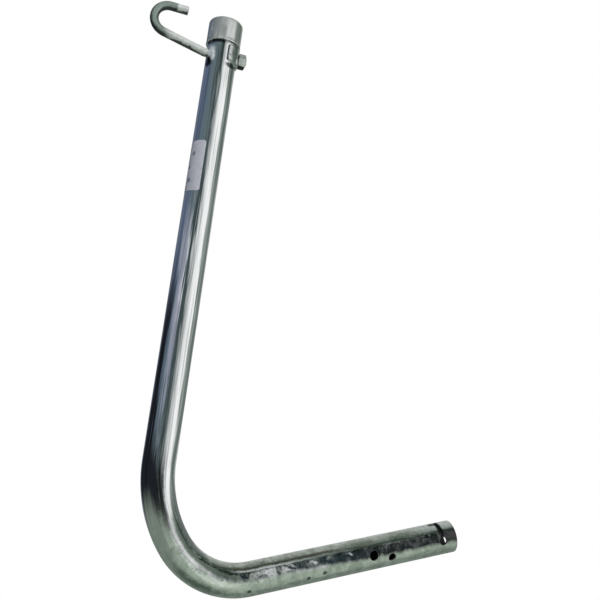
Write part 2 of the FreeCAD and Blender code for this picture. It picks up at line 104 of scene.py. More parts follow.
class BracketSizes(bpy.types.PropertyGroup):
    """Sizes of the pieces"""
    tube_wall: length("Tube wall", "Wall of the bent tube", 0.0032)
    arm_length: length("Arm length", "Straight arm, from the bend to its end", 0.290)
    bolt_hole_from_end: length("Bolt hole", "Larger cross hole, from the arm's end", 0.124)
    upper_bend_radius: length("Upper bend", "Centreline radius beside the upright", 0.162)
    upper_bend_turn: angle("Upper turn", "Turn made on the upper radius", 37.8)
    lower_bend_radius: length("Lower bend", "Centreline radius beside the arm", 0.096)
    notch_width: length("Saw cut", "Width of the saw cut above the end hole", 0.0045)
    rod_hole_radius: length("Rod hole", "Radius of the hook rod's holes", 0.0065)
    ring_points: IntProperty(name="Ring points", description="Points round the tube", default=96)
    ring_spacing: length("Ring spacing", "Distance between rings along the tube", 0.004)
    rod_radius: length("Rod radius", "Radius of the hook rod", 0.006)
    rod_end: length("Rod end", "Threaded end, from the upright's axis", 0.0353)
    crank_start: length("Crank start", "Start of the crank, from the upright's axis", 0.0225)
    crank_radius: length("Crank radius", "Centreline radius of the crank", 0.018)
    crank_angle: angle("Crank angle", "Rise of the shank", 13.0)
    hook_radius: length("Hook radius", "Centreline radius of the curl", 0.0205)
    hook_reach: length("Hook reach", "Outermost centreline, from the upright's axis", 0.0992)
    tip_from_axis: length("Tip", "Hook's tip, from the upright's axis", 0.055)
    tip_chamfer: length("Tip chamfer", "Chamfer of the hook's tip", 0.0008)
    thread_pitch: length("Thread pitch", "Pitch of the rod's thread", 0.00175)
    thread_depth: length("Thread depth", "Depth of the rod's thread", 0.0009)
    thread_length: length("Thread length", "Threaded part of the rod", 0.020)
    cap_bore: length("Cap bore", "Inside radius of the cap", 0.0213)
    cap_radius: length("Cap radius", "Outside radius of the cap", 0.0238)
    cap_lip: length("Cap lip", "How far the rim's lip stands out", 0.0003)
    cap_overlap: length("Cap overlap", "Length of tube inside the cap", 0.0327)
    cap_height: length("Cap height", "Rim to the top", 0.0357)
    cap_edge_round: length("Cap edge", "Rounding of the cap's upper edge", 0.0045)
    cap_rim_chamfer: length("Cap chamfer", "Chamfer inside the cap's rim", 0.0004)
    nut_flats: length("Nut flats", "Nut across flats", 0.019)
    nut_bore: length("Nut bore", "Radius of the nut's thread", 0.00605)
    nut_bore_chamfer: length("Nut chamfer", "Chamfer of the nut's bore", 0.0006)
    nut_corner: length("Nut corner", "How far the nut's corners are taken back", 0.00025)
    label_width: length("Label width", "Label round the tube", 0.050)
    label_height: length("Label height", "Label along the upright", 0.071)
    label_thick: length("Label film", "Thickness of the label", 0.00015)
    label_corner: length("Label corner", "Rounding of the label's corners", 0.0025)
    label_edge_turn: angle("Label turn", "Leading edge, turned from the front to the hook's side", 14.7)


class BracketFinish(bpy.types.PropertyGroup):
    """Colours and gloss of the pieces"""
    zinc: colour("Bright zinc", "Clean zinc", (0.83, 0.85, 0.845))
    # Painted highlight: brighter zinc where a reflection lights the front under the bend
    zinc_highlight_paint: colour("Rubbed zinc", "Zinc rubbed bright under the bend", (0.97, 0.98, 0.97))
    zinc_grey: colour("Grey zinc", "Dull zinc on the bend and arm", (0.56, 0.595, 0.56))
    # Dull zinc of the upright's drawn lines, also the painted dark reflection inside the bend
    zinc_streaks_and_crook_reflection: colour("Dull crook", "Dull zinc inside the bend", (0.085, 0.118, 0.092))
    # Painted highlight: pale zinc of the glints on the arm, the highlight along its crest and at its end, and
    # the hook rod's reflection on the upright
    zinc_pale_highlight_paint: colour("Pale bloom", "Chalky patches on the arm and by the hook", (0.80, 0.83, 0.86))
    # Dark zinc of the runs and pits, also used as painted shade under the cap's rim, on the fixings and the
    # hook, as painted shadow of the rod and washer, and as a painted dark reflection on the bend
    zinc_dark_and_painted_shade: colour("Dark zinc", "Ragged dark runs on the arm's front", (0.020, 0.026, 0.026))
    # Tone of the runs, which are partly dark zinc and partly painted dark reflection
    zinc_teal: colour("Teal tarnish", "The runs' tone towards the bend", (0.030, 0.050, 0.056))
    zinc_brown: colour("Brown stain", "Thin stain above the dark runs", (0.13, 0.115, 0.085))
    # Painted shade: the unlit bore, the saw cut's edges and the arm's end
    bore: colour("Bore", "Unlit zinc inside the tube, and dirt", (0.050, 0.054, 0.052))
    upright_rough: FloatProperty(name="Upright gloss", description="Roughness of the upright", default=0.09,
                                 subtype="FACTOR", min=0, max=1)
    arm_rough: FloatProperty(name="Arm gloss", description="Roughness of the bend and arm", default=0.14,
                             subtype="FACTOR", min=0, max=1)
    rod_zinc: colour("Rod zinc", "Zinc on the hook rod", (0.78, 0.79, 0.78))
    rod_dull: colour("Rod curl", "Duller zinc round the hook's curl", (0.32, 0.385, 0.345))
    cap_metal: colour("Cap metal", "Satin metal of the cap", (0.88, 0.89, 0.88))
    fixing_zinc: colour("Fixing zinc", "Zinc on the nut and saddle washer", (0.76, 0.78, 0.77))
    label_film: colour("Label film", "Plain film of the label", (0.51, 0.505, 0.57))
    label_scuff: colour("Label scuff", "Rubbed marks on the label", (0.10, 0.105, 0.13))


class BracketStudio(bpy.types.PropertyGroup):
    """Camera, lamp and surroundings"""
    camera_place: FloatVectorProperty(name="Camera", description="Camera's place", subtype="TRANSLATION",
                                      default=(-0.43212, -0.96523, 0.11922))
    camera_turn: FloatVectorProperty(name="Camera turn", description="Camera's rotation", subtype="EULER",
                                     default=tuple(math.radians(a) for a in (101.5706, -6.8295, -18.3477)))
    lens: FloatProperty(name="Lens", description="Focal length in millimetres", default=45.0, unit="CAMERA")
    sensor: FloatProperty(name="Sensor", description="Sensor's width in millimetres", default=36.0,
                          unit="CAMERA")
    lamp_place: FloatVectorProperty(name="Lamp", description="Lamp's place", subtype="TRANSLATION",
                                    default=(-0.7, -1.1, 1.6))
    lamp_aim: length("Lamp aim", "Height on the upright that the lamp points at", 0.35)
    lamp_size: length("Lamp size", "Side of the square lamp", 1.6)
    lamp_power: FloatProperty(name="Lamp power", description="Lamp's power in watts", default=27.0,
                              unit="POWER")
    floor_drop: length("Floor", "Floor, below the origin", 2.9)
    floor_reach: length("Floor reach", "Floor, from its middle to its edge", 30.0)
    shell_radius: length("Shell", "Radius of the studio's walls", 2.6)
    shell_height: length("Shell height", "Middle of the studio's walls, above the origin", 0.3)


Settings = namedtuple("Settings", "sizes finish studio")


def settings():
    """The scene's sizes, finishes and studio."""
    scene = bpy.context.scene
    return Settings(scene.bracket_sizes, scene.bracket_finish, scene.bracket_studio)


# Shader maths

class Value:
    """A shader socket that takes part in Python sums."""

    def __init__(self, graph, socket):
        self.graph = graph
        self.socket = socket

    def __add__(self, other):
        return self.graph.maths("ADD", self, other)

    def __radd__(self, other):
        return self.graph.maths("ADD", other, self)

    def __sub__(self, other):
        return self.graph.maths("SUBTRACT", self, other)

    def __rsub__(self, other):
        return self.graph.maths("SUBTRACT", other, self)

    def __mul__(self, other):
        return self.graph.maths("MULTIPLY", self, other)

    def __rmul__(self, other):
        return self.graph.maths("MULTIPLY", other, self)

    def __truediv__(self, other):
        return self.graph.maths("DIVIDE", self, other)


class Graph:
    """Builds a node tree from types, settings and socket values."""

    def __init__(self, tree):
        self.tree = tree
        tree.nodes.clear()

    def node(self, kind, options=None, inputs=None, out=0):
        """One node: its settings first, then its sockets, and the output that is used."""
        made = self.tree.nodes.new(kind)
        for key, value in (options or {}).items():
            if key == "stops":
                self.set_stops(made.color_ramp, value)
            else:
                setattr(made, key, value)
        for key, value in (inputs or {}).items():
            socket = made.inputs[key]
            if isinstance(value, Value):
                self.tree.links.new(value.socket, socket)
            elif socket.type == "RGBA":
                socket.default_value = (*value[:3], 1.0)
            else:
                socket.default_value = value
        return Value(self, made.outputs[out]) if made.outputs else None

    @staticmethod
    def set_stops(ramp, stops):
        """Gives a colour ramp its places and colours."""
        while len(ramp.elements) > 1:
            ramp.elements.remove(ramp.elements[-1])
        ramp.elements[0].position = stops[0][0]
        ramp.elements[0].color = (*stops[0][1], 1.0)
        for place, shade in stops[1:]:
            ramp.elements.new(place).color = (*shade, 1.0)

    def maths(self, operation, *values):
        """One sum on numbers."""
        return self.node("ShaderNodeMath", {"operation": operation}, dict(enumerate(values)))

    def step(self, value, low, high):
        """Smooth step from 0 at low to 1 at high."""
        return self.node("ShaderNodeMapRange", {"interpolation_type": "SMOOTHSTEP"},
                         {"Value": value, "From Min": low, "From Max": high})

    def fall(self, value, low, high):
        """Smooth step from 1 at low to 0 at high."""
        return 1 - self.step(value, low, high)

    def band(self, value, low, high, soft):
        """1 between low and high, falling to 0 over soft on both sides."""
        return self.step(value, low - soft, low + soft) * self.fall(value, high - soft, high + soft)

    def clamp(self, value):
        """The value held between 0 and 1."""
        return self.node("ShaderNodeClamp", None, {"Value": value})

    def mix(self, factor, first, second):
        """Colour between two colours."""
        return self.node("ShaderNodeMix", {"data_type": "RGBA"}, {0: factor, 6: first, 7: second}, out=2)

    def layers(self, base, coats):
        """Colour built up from the base by coats, each with its share and its tone."""
        for share, tone in coats:
            base = self.mix(share, base, tone)
        return base

    def noise(self, vector, scale, detail=3.0, rough=0.5, distortion=0.0):
        """Soft random pattern around 0.5."""
        return self.node("ShaderNodeTexNoise", {"noise_dimensions": "3D"},
                         {"Vector": vector, "Scale": scale, "Detail": detail, "Roughness": rough,
                          "Distortion": distortion})

    def measure(self, operation, vector, other):
        """A number from two vectors."""
        return self.node("ShaderNodeVectorMath", {"operation": operation}, {0: vector, 1: other}, out="Value")

    def dot(self, vector, direction):
        """How far a vector goes in a direction."""
        return self.measure("DOT_PRODUCT", vector, direction)

    def distance(self, vector, point):
        """Distance between two points."""
        return self.measure("DISTANCE", vector, point)

    def place(self):
        """Place on the piece, in metres."""
        return self.node("ShaderNodeTexCoord", out="Object")

    def attribute(self, name, out="Fac"):
        """A value that the mesh carries."""
        return self.node("ShaderNodeAttribute", {"attribute_name": name}, out=out)

    def stretch(self, vector, scale, turn=(0, 0, 0)):
        """Coordinates turned and then stretched for a pattern."""
        return self.node("ShaderNodeMapping", {"vector_type": "TEXTURE"},
                         {"Vector": vector, "Rotation": turn, "Scale": scale})

    def seen(self):
        """1 for what the camera sees straight, mirrored or through glass, and 0 for what only lights."""
        rays = [self.node("ShaderNodeLightPath", out="Is %s Ray" % kind)
                for kind in ("Camera", "Glossy", "Transmission")]
        return self.clamp(rays[0] + rays[1] + rays[2])


def new_material(name, kind=Graph):
    """A material and the graph that builds it."""
    material = bpy.data.materials.new(name)
    material.use_nodes = True
    return material, kind(material.node_tree)


def finish_surface(graph, shade, rough, height, metallic):
    """Principled surface with a bump, whose height is in metres, joined to the output."""
    bump = graph.node("ShaderNodeBump", None, {"Strength": 1.0, "Distance": 1.0, "Height": height})
    surface = graph.node("ShaderNodeBsdfPrincipled", None,
                         {"Base Color": shade, "Metallic": metallic, "Roughness": rough, "Normal": bump})
    graph.node("ShaderNodeOutputMaterial", None, {"Surface": surface})


def darker(shade, share):
    """A share of a colour's light."""
    return [share * part for part in shade]


# Zinc of the tube

# Its marks lie on the straightened tube. Along is in metres from the arm's end. Above is in tube radii, from
# -1 at the bend's outside over 0 at the front's middle to 1 at the bend's inside. Degrees turn the same way.

# Where a mark starts and ends and how soft its edges are, along and above, and how ragged it is.
Mark = namedtuple("Mark", "along above ragged")
# Painted highlights on the arm: bluish glints among the runs and a pale line along its crest
PAINTED_BLOTCH_GLINTS = Mark((0.235, 0.305, 0.020), (0.42, 0.60, 0.07), 0.0)
PAINTED_CREST_HIGHLIGHT = Mark((0.150, 0.315, 0.012), (0.57, 0.67, 0.03), 0.12)
STAIN = Mark((0.170, 0.335, 0.030), (0.69, 0.80, 0.05), 0.15)
# Painted dark reflection on the front of the bend near the upright
PAINTED_BEND_DARK_REFLECTION = Mark((0.428, 0.512, 0.026), (-0.14, 0.20, 0.10), 0.22)
# Painted highlight on the front of the lower bend
PAINTED_BEND_HIGHLIGHT = Mark((0.298, 0.350, 0.018), (-0.36, 0.02, 0.14), 0.22)

# Place of a spot, radius of its full middle and of its edge, how much longer than wide, and how ragged.
# A place below 0 along counts back from the upright's top.
Spot = namedtuple("Spot", "along degrees full edge longer ragged", defaults=(1.0, 0.0))
PITS = (
    Spot(0.0445, 32.0, 0.0010, 0.0042),
    Spot(0.1946, -22.0, 0.0010, 0.0042),
    Spot(0.2164, -31.0, 0.0010, 0.0042),
    Spot(0.2945, -33.0, 0.0010, 0.0042),
)
# Painted reflection of the hook rod on the upright, beside the rod's hole
PAINTED_ROD_REFLECTION = (
    Spot(-0.047, -54.0, 0.0015, 0.0090, ragged=0.0032),
    Spot(-0.056, -43.0, 0.0015, 0.0050, longer=2.4, ragged=0.0032),
)
# Painted shadow below the hook rod's hole
PAINTED_ROD_SHADOW = Spot(-0.064, -64.0, 0.0050, 0.0110, ragged=0.008)
# Painted shadow under the saddle washer
PAINTED_WASHER_SHADOW = Spot(-0.066, 31.0, 0.0045, 0.0105, longer=0.5, ragged=0.008)


class TubeSkin(Graph):
    """Where each point of the tube's surface lies, and the patterns that break up its marks."""

    def __init__(self, tree):
        super().__init__(tree)
        self.straight = self.attribute("straight_place", "Vector")
        self.along = self.dot(self.straight, (1, 0, 0))
        self.above = self.dot(self.straight, (0, 0, -1)) / TUBE_RADIUS
        self.front = self.step(self.dot(self.straight, (0, -1, 0)) / TUBE_RADIUS, -0.2, 0.3)
        self.top = TubeLine().length()
        self.ragged = self.pattern(0.010, 0.022, 6.0, 0.7, 0.3)
        self.specks = self.pattern(0.008, 0.013, 4.0, 0.6)
        slanting = self.stretch(self.straight, (0.026, 0.016, 0.013), (0, 0.6, 0))
        self.blotch = self.noise(slanting, 1.0, 3.0, 0.6, 0.6)

    def pattern(self, along, across, detail, rough=0.5, distortion=0.0):
        """Noise with grains of this length along the tube and this width across it."""
        grains = self.stretch(self.straight, (along, across, across))
        return self.noise(grains, 1.0, detail, rough, distortion)

    def ragged_above(self, amount):
        """Place above the front's middle, made uneven."""
        return self.above + (self.ragged - 0.5) * amount

    def patch(self, mark):
        """1 inside a mark."""
        return self.band(self.ragged_above(mark.ragged), *mark.above) * self.band(self.along, *mark.along)

    def spots(self, *places):
        """1 inside a spot, and 0 outside them all."""
        total = 0.0
        for spot in places:
            turn = math.radians(spot.degrees)
            along = spot.along if spot.along > 0 else self.top + spot.along
            middle_point = (along / spot.longer, -TUBE_RADIUS * math.cos(turn), -TUBE_RADIUS * math.sin(turn))
            away = self.distance(self.stretch(self.straight, (spot.longer, 1, 1)), middle_point)
            total = self.fall(away + (self.specks - 0.5) * spot.ragged, spot.full, spot.edge) + total
        return total


def dark_runs_and_painted_reflection(g):
    """Dark runs, partly dark zinc and partly painted dark reflection, that cover the front near the arm's end
    and break up into blotches towards the bend.
    """
    # The strip that they keep to reaches lower down near the arm's end.
    foot = g.ragged_above(0.4) + 0.22 * g.fall(g.along, 0.13, 0.22)
    strip = g.step(foot, -0.02, 0.26) * g.fall(g.ragged_above(0.3), 0.46, 0.68)
    # Their cover thins towards the bend, ends there, and has one weak place on the way.
    cover = 1.35 - 0.93 * g.step(g.along, 0.08, 0.30) - g.step(g.along, 0.30, 0.33)
    cover = cover - 0.20 * g.band(g.along, 0.142, 0.172, 0.012)
    broken = (g.blotch - 0.5) * 2.2 + (g.specks - 0.5) * 0.5
    return g.front * strip * g.step(cover + broken, 0.34, 0.66)


def painted_highlights(g):
    """Painted highlights: bluish glints among the runs, a pale line above them, a paler top at the arm's end,
    and the hook rod's reflection beside the rod.
    """
    bloom = g.patch(PAINTED_BLOTCH_GLINTS) * g.fall(g.blotch, 0.38, 0.54) * 0.30
    crest = g.patch(PAINTED_CREST_HIGHLIGHT) * (0.15 + 0.50 * g.step(g.along, 0.16, 0.29))
    # Painted highlight along the top at the arm's end
    extra_painted_light = g.fall(g.along, 0.015, 0.075) * g.step(g.ragged_above(0.2), 0.62, 0.80) * 0.36
    return g.clamp(g.front * (bloom + crest + extra_painted_light) + g.spots(*PAINTED_ROD_REFLECTION) * 0.85)


def painted_crook_reflection(g):
    """Painted dark reflection inside the bend: its lower and upper edges rise on the way to the upright."""
    above = g.ragged_above(0.22)
    foot = 0.33 - 0.17 * g.fall(g.along, 0.325, 0.370) + 0.20 * g.step(g.along, 0.420, 0.470)
    top = 0.64 + 0.07 * g.step(g.along, 0.350, 0.390)
    crook = g.step(above - foot, -0.14, 0.12) * g.fall(above - top, -0.10, 0.10)
    return crook * g.step(g.along, 0.277, 0.317) * g.fall(g.along, 0.415, 0.500)


def cap_shadow(g, overlap):
    """Dark line under the cap's rim, weaker towards the arm's side."""
    rim = g.top - overlap
    line = g.step(g.along + (g.specks - 0.5) * 0.003, rim - 0.0050, rim - 0.0025)
    return line * (1 - 0.7 * g.step(g.above, -0.20, 0.10))


def saw_cut_shade(g, runs):
    """Painted shade on the saw cut's edges, along the arm's top beside it and on the ends of the runs at the
    arm's end.
    """
    edges = g.band(g.along, 0.0174, 0.0248, 0.0010) * g.step(g.above, 0.05, 0.25)
    top = g.band(g.along, 0.0220, 0.0330, 0.0030) * g.step(g.above, 0.90, 0.96)
    return edges + top + runs * g.fall(g.along, 0.013, 0.022) * 0.8


def tube_zinc():
    """Hot-dip zinc: lines drawn along the upright, ripples and dark ragged runs on the bend and arm, the runs
    partly painted dark reflection, with painted highlights, reflections, shadows and shade.
    """
    sizes, finish, _ = settings()
    material, g = new_material("tube_zinc", TubeSkin)
    # 1 on the arm, falling to 0 round the bend.
    arm = g.fall(g.along, sizes.arm_length + 0.04, sizes.arm_length + 0.20)
    mottle = g.pattern(0.014, 0.022, 5.0, 0.65, 0.8)
    lines = g.pattern(0.140, 0.0022, 1.0)
    runs = dark_runs_and_painted_reflection(g)
    # Tone of the runs, which are partly dark zinc and partly painted dark reflection
    tarnish = g.mix(g.step(g.along, 0.11, 0.20), finish.zinc_dark_and_painted_shade, finish.zinc_teal)
    pale = painted_highlights(g)
    pits = g.spots(*PITS)
    # The round holes' matt walls catch light, and the saw cut near the arm's end is dark throughout.
    inside = g.attribute("inside")
    sawn = g.fall(g.along, 0.030, 0.040)
    bored = g.step(inside + sawn * 0.6, 0.60, 0.98 - 0.15 * sawn)
    drilled = g.step(inside, 0.01, 0.05) * (1 - bored)

    shade = g.layers(finish.zinc, (
        (arm * g.step(mottle, 0.38, 0.62), finish.zinc_grey),
        (g.step(lines, 0.50, 0.68) * 0.38 * (1 - arm), finish.zinc_streaks_and_crook_reflection),
        # Painted highlight under the bend
        (g.front * g.patch(PAINTED_BEND_HIGHLIGHT) * 0.80, finish.zinc_highlight_paint),
        # Painted dark reflection inside the bend
        (painted_crook_reflection(g) * 0.95, finish.zinc_streaks_and_crook_reflection),
        # Painted dark reflection on the bend's front
        (g.front * g.patch(PAINTED_BEND_DARK_REFLECTION) * 0.88, finish.zinc_dark_and_painted_shade),
        (runs * (0.86 + 0.14 * g.step(g.specks, 0.3, 0.6)), tarnish),
        (g.front * g.patch(STAIN) * 0.80, finish.zinc_brown),
        (pits * 0.85, finish.zinc_dark_and_painted_shade),
        (g.spots(PAINTED_ROD_SHADOW), finish.zinc_dark_and_painted_shade),
        (g.spots(PAINTED_WASHER_SHADOW) * 0.90, finish.zinc_dark_and_painted_shade),
        (cap_shadow(g, sizes.cap_overlap) * 0.92, finish.zinc_dark_and_painted_shade),
        # Painted highlights and reflections
        (pale, finish.zinc_pale_highlight_paint),
        # Painted shade at the saw cut and the arm's end
        (saw_cut_shade(g, runs), finish.bore),
        (drilled, finish.zinc_grey),
        (bored, finish.bore)))

    rough = finish.upright_rough + (finish.arm_rough - finish.upright_rough) * arm
    rough = rough + (mottle - 0.5) * 0.12 * arm + runs * 0.10 + inside * 0.5 + pale * 0.2 + drilled * 0.3
    # Heights in metres: long waves, drawn lines on the upright, and lumps, ripples and pits on the arm.
    waves = g.pattern(0.110, 0.018, 2.0)
    drawn = g.pattern(0.075, 0.0045, 1.5)
    ripples = g.pattern(0.0060, 0.018, 3.0, 0.55)
    lumps = g.pattern(0.026, 0.014, 4.0, 0.6, 0.4)
    grain = g.noise(g.straight, 900.0, 2.0)
    bumps = waves * 0.0016 + drawn * 0.0007 * (1 - arm * 0.7) + arm * (lumps * 0.0014 + ripples * 0.0002)
    bumps = bumps + grain * 0.000004 - pits * 0.0004
    finish_surface(g, shade, rough, bumps, 1 - pale * 0.75 - drilled * 0.7)
    return material


# Finishes of the other pieces

# The cap's rubbed side, towards the viewer and a little to the hook.
CAP_FRONT = (-0.14, -0.99, 0.0)
# Where the hook's dull curl starts to fade and ends, in from its outermost line, on its upper and lower side.
UPPER_CURL = (0.0275, 0.0305)
LOWER_CURL = (0.0140, 0.0260)
# Rubbed spots on the label: in from its leading edge, up from its middle, and radius.
SCUFFS = ((0.0164, 0.0174, 0.0042), (0.0217, -0.0021, 0.0034), (0.0190, -0.0205, 0.0046))


def plain_zinc(name, rough, wave, metallic):
    """Cloudy zinc of the nut and the saddle washer, with painted shade where a mesh marks its underside."""
    finish = settings().finish
    material, g = new_material(name)
    place = g.place()
    cloud = g.noise(place, 140.0, 4.0, 0.6)
    grain = g.noise(place, 1100.0, 2.0)
    # Painted shade on the faces that point down
    under = g.step(g.attribute("underside") + (cloud - 0.5) * 0.4, 0.45, 0.75)
    shade = g.layers(finish.fixing_zinc, (
        (g.step(cloud, 0.35, 0.70), darker(finish.fixing_zinc, 0.78)),
        (under, finish.zinc_dark_and_painted_shade)))
    finish_surface(g, shade, rough + (cloud - 0.5) * 0.16, cloud * wave + grain * 0.000006, metallic)
    return material


def hook_zinc():
    """Thick zinc: pale on the shank and tip, duller round the curl, with painted ragged shade on its
    underside and on the curl's flanks that turn away from the front.
    """
    sizes, finish, _ = settings()
    material, g = new_material("hook_zinc")
    place = g.place()
    cloud = g.noise(place, 140.0, 4.0, 0.6)
    ragged = g.noise(place, 260.0, 5.0, 0.7)
    grain = g.noise(place, 1100.0, 2.0)
    from_axis = g.dot(place, (-1, 0, 0)) + UPRIGHT_X
    inwards = sizes.hook_reach - from_axis
    upper = g.fall(inwards - (cloud - 0.5) * 0.004, *UPPER_CURL)
    lower = g.fall(inwards - (cloud - 0.5) * 0.010, *LOWER_CURL)
    height = g.dot(place, (0, 0, 1)) - ROD_HEIGHT
    curl = lower + (upper - lower) * g.step(height, sizes.hook_radius, sizes.hook_radius * 1.6)

    # Painted shade widened along part of the shank's underside
    extra_painted_light = 0.22 * g.band(from_axis, 0.040, 0.066, 0.008)
    # Painted shade on the faces that point down, and on the curl's flanks
    under = g.step(g.attribute("underside") + (ragged - 0.5) * 1.1 + extra_painted_light, 0.82, 1.0)
    flank = g.step(g.attribute("flank") + (ragged - 0.5) * 0.25, 0.07, 0.36)
    dark = g.clamp(under * (1 - curl) + curl * (g.step(ragged, 0.56, 0.72) * 0.5 + flank))
    shade = g.layers(finish.rod_zinc, (
        (curl, finish.rod_dull),
        (g.step(cloud, 0.40, 0.70) * 0.35, finish.rod_dull),
        (dark * 0.85, finish.zinc_dark_and_painted_shade)))
    bumps = cloud * 0.0005 + ragged * 0.0002 + grain * 0.000006
    finish_surface(g, shade, 0.30 + (cloud - 0.5) * 0.16, bumps, 0.35 + curl * 0.15)
    return material


def satin_cap():
    """Satin metal with marks drawn down the cap: its front is rubbed matt and its sides keep their shine."""
    sizes, finish, _ = settings()
    material, g = new_material("cap_shell")
    place = g.place()
    brushed = g.noise(g.stretch(place, (0.0065, 0.0065, 0.060)), 1.0, 1.0)
    cloud = g.noise(place, 60.0, 1.0)
    facing = (g.dot(place, CAP_FRONT) - UPRIGHT_X * CAP_FRONT[0]) / sizes.cap_radius
    matt = g.step(facing, 0.50, 0.85)
    streaks = g.step(brushed + (cloud - 0.5) * 0.4, 0.36, 0.64)
    shade = g.mix(streaks, finish.cap_metal, darker(finish.cap_metal, 0.64))
    bumps = brushed * 0.00012 + cloud * 0.00008
    finish_surface(g, shade, 0.22 + (cloud - 0.5) * 0.10, bumps, 0.90 - 0.24 * matt)
    return material


def label_film():
    """Plain grey film with rubbed spots."""
    sizes, finish, _ = settings()
    material, g = new_material("label_film")
    place = g.place()
    cloud = g.noise(place, 120.0, 4.0, 0.6)
    rubbed = g.noise(place, 420.0, 4.0, 0.7)
    scuffs = 0.0
    for across, rise, radius in SCUFFS:
        turn = 1.5 * math.pi - sizes.label_edge_turn - across / TUBE_RADIUS
        point = (UPRIGHT_X + TUBE_RADIUS * math.cos(turn), TUBE_RADIUS * math.sin(turn), LABEL_MIDDLE + rise)
        away = g.distance(place, point) + (rubbed - 0.5) * 0.006
        scuffs = g.fall(away, radius * 0.4, radius) + scuffs
    shade = g.layers(finish.label_film, (
        (g.step(cloud, 0.3, 0.75), darker(finish.label_film, 0.86)),
        (scuffs * 0.75, finish.label_scuff)))
    finish_surface(g, shade, 0.38 + (cloud - 0.5) * 0.1, cloud * 0.00004, 0.0)
    return material


# Mesh helpers

CORNER_ANGLE = math.radians(38.0)
NUT_CORNER_ANGLE = math.radians(20.0)
CAP_POINTS = 128
DRILL_POINTS = 64
CUTTER_REACH = TUBE_RADIUS * 1.5
UPPER_ARC_STEPS = 36
LOWER_ARC_STEPS = 60


def add_object(name, data):
    """Object in the scene."""
    made = bpy.data.objects.new(name, data)
    bpy.context.scene.collection.objects.link(made)
    return made


def dress(piece, material):
    """Gives a piece one material."""
    piece.data.materials.clear()
    piece.data.materials.append(material)


def keep(name, mesh, material, node):
    """Object at the origin that stands for a frame node and rides on the bracket."""
    piece = add_object(name, mesh)
    dress(piece, material)
    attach(piece, "root")
    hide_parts(node)


def mark_points(mesh, name, values):
    """Gives each point of a mesh a number for its material."""
    mesh.attributes.new(name, "FLOAT", "POINT").data.foreach_set("value", values)


def mark_underside(mesh):
    """Marks how far each point faces down."""
    mark_points(mesh, "underside", [max(0.0, -vertex.normal.z) for vertex in mesh.vertices])


def smooth_with_edges(mesh, limit=CORNER_ANGLE):
    """Smooth faces, with sharp edges where the surface turns a corner."""
    work = bmesh.new()
    work.from_mesh(mesh)
    for face in work.faces:
        face.smooth = True
    for edge in work.edges:
        edge.smooth = edge.is_manifold and edge.calc_face_angle(0) < limit
    work.to_mesh(mesh)
    work.free()


def plain_mesh(name, work):
    """Mesh from a bmesh, with faces pointing outwards."""
    bmesh.ops.recalc_face_normals(work, faces=work.faces)
    mesh = bpy.data.meshes.new(name)
    work.to_mesh(mesh)
    work.free()
    return mesh


def closed_mesh(name, work, limit=CORNER_ANGLE):
    """Smoothed mesh from a bmesh, with its doubles merged."""
    bmesh.ops.remove_doubles(work, verts=work.verts, dist=1e-7)
    mesh = plain_mesh(name, work)
    smooth_with_edges(mesh, limit)
    return mesh


def path_mesh(name, points):
    """Mesh of edges through points, for a sweep."""
    mesh = bpy.data.meshes.new(name)
    mesh.from_pydata(points, [(index, index + 1) for index in range(len(points) - 1)], [])
    return mesh


def turns(count):
    """Angles spaced evenly round a circle."""
    return [2 * math.pi * index / count for index in range(count)]


def skin_rings(work, rings, closed=False):
    """Quads between rings of points, all of one length; closed also joins the last ring to the first."""
    made = [[work.verts.new(point) for point in ring] for ring in rings]
    pairs = list(zip(made, made[1:]))
    if closed:
        pairs.append((made[-1], made[0]))
    for first, second in pairs:
        count = len(first)
        for index in range(count):
            after = (index + 1) % count
            work.faces.new((first[index], first[after], second[after], second[index]))
    return made


def cap_ring(work, ring, centre):
    """Fan from a ring to its middle point."""
    point = work.verts.new(centre)
    for index, vertex in enumerate(ring):
        work.faces.new((vertex, ring[(index + 1) % len(ring)], point))


def lathe(name, profile, centre):
    """Shape turned about the upright's direction, from a profile that ends on the axis at both ends."""
    work = bmesh.new()
    rings = [[centre + Vector((radius * math.cos(turn), radius * math.sin(turn), rise))
              for turn in turns(CAP_POINTS)] for radius, rise in profile[1:-1]]
    made = skin_rings(work, rings)
    for ring, (_, rise) in ((made[0], profile[0]), (made[-1], profile[-1])):
        cap_ring(work, ring, centre + Vector((0, 0, rise)))
    return closed_mesh(name, work)


def arc_points(centre, radius, first, last, steps):
    """Points in the XZ plane on an arc, angles in radians."""
    points = []
    for index in range(steps + 1):
        turn = first + (last - first) * index / steps
        points.append(centre + radius * Vector((math.cos(turn), 0, math.sin(turn))))
    return points


def spaced(first, last, steps):
    """Points on a straight run, without its first."""
    return [first.lerp(last, index / steps) for index in range(1, steps + 1)]


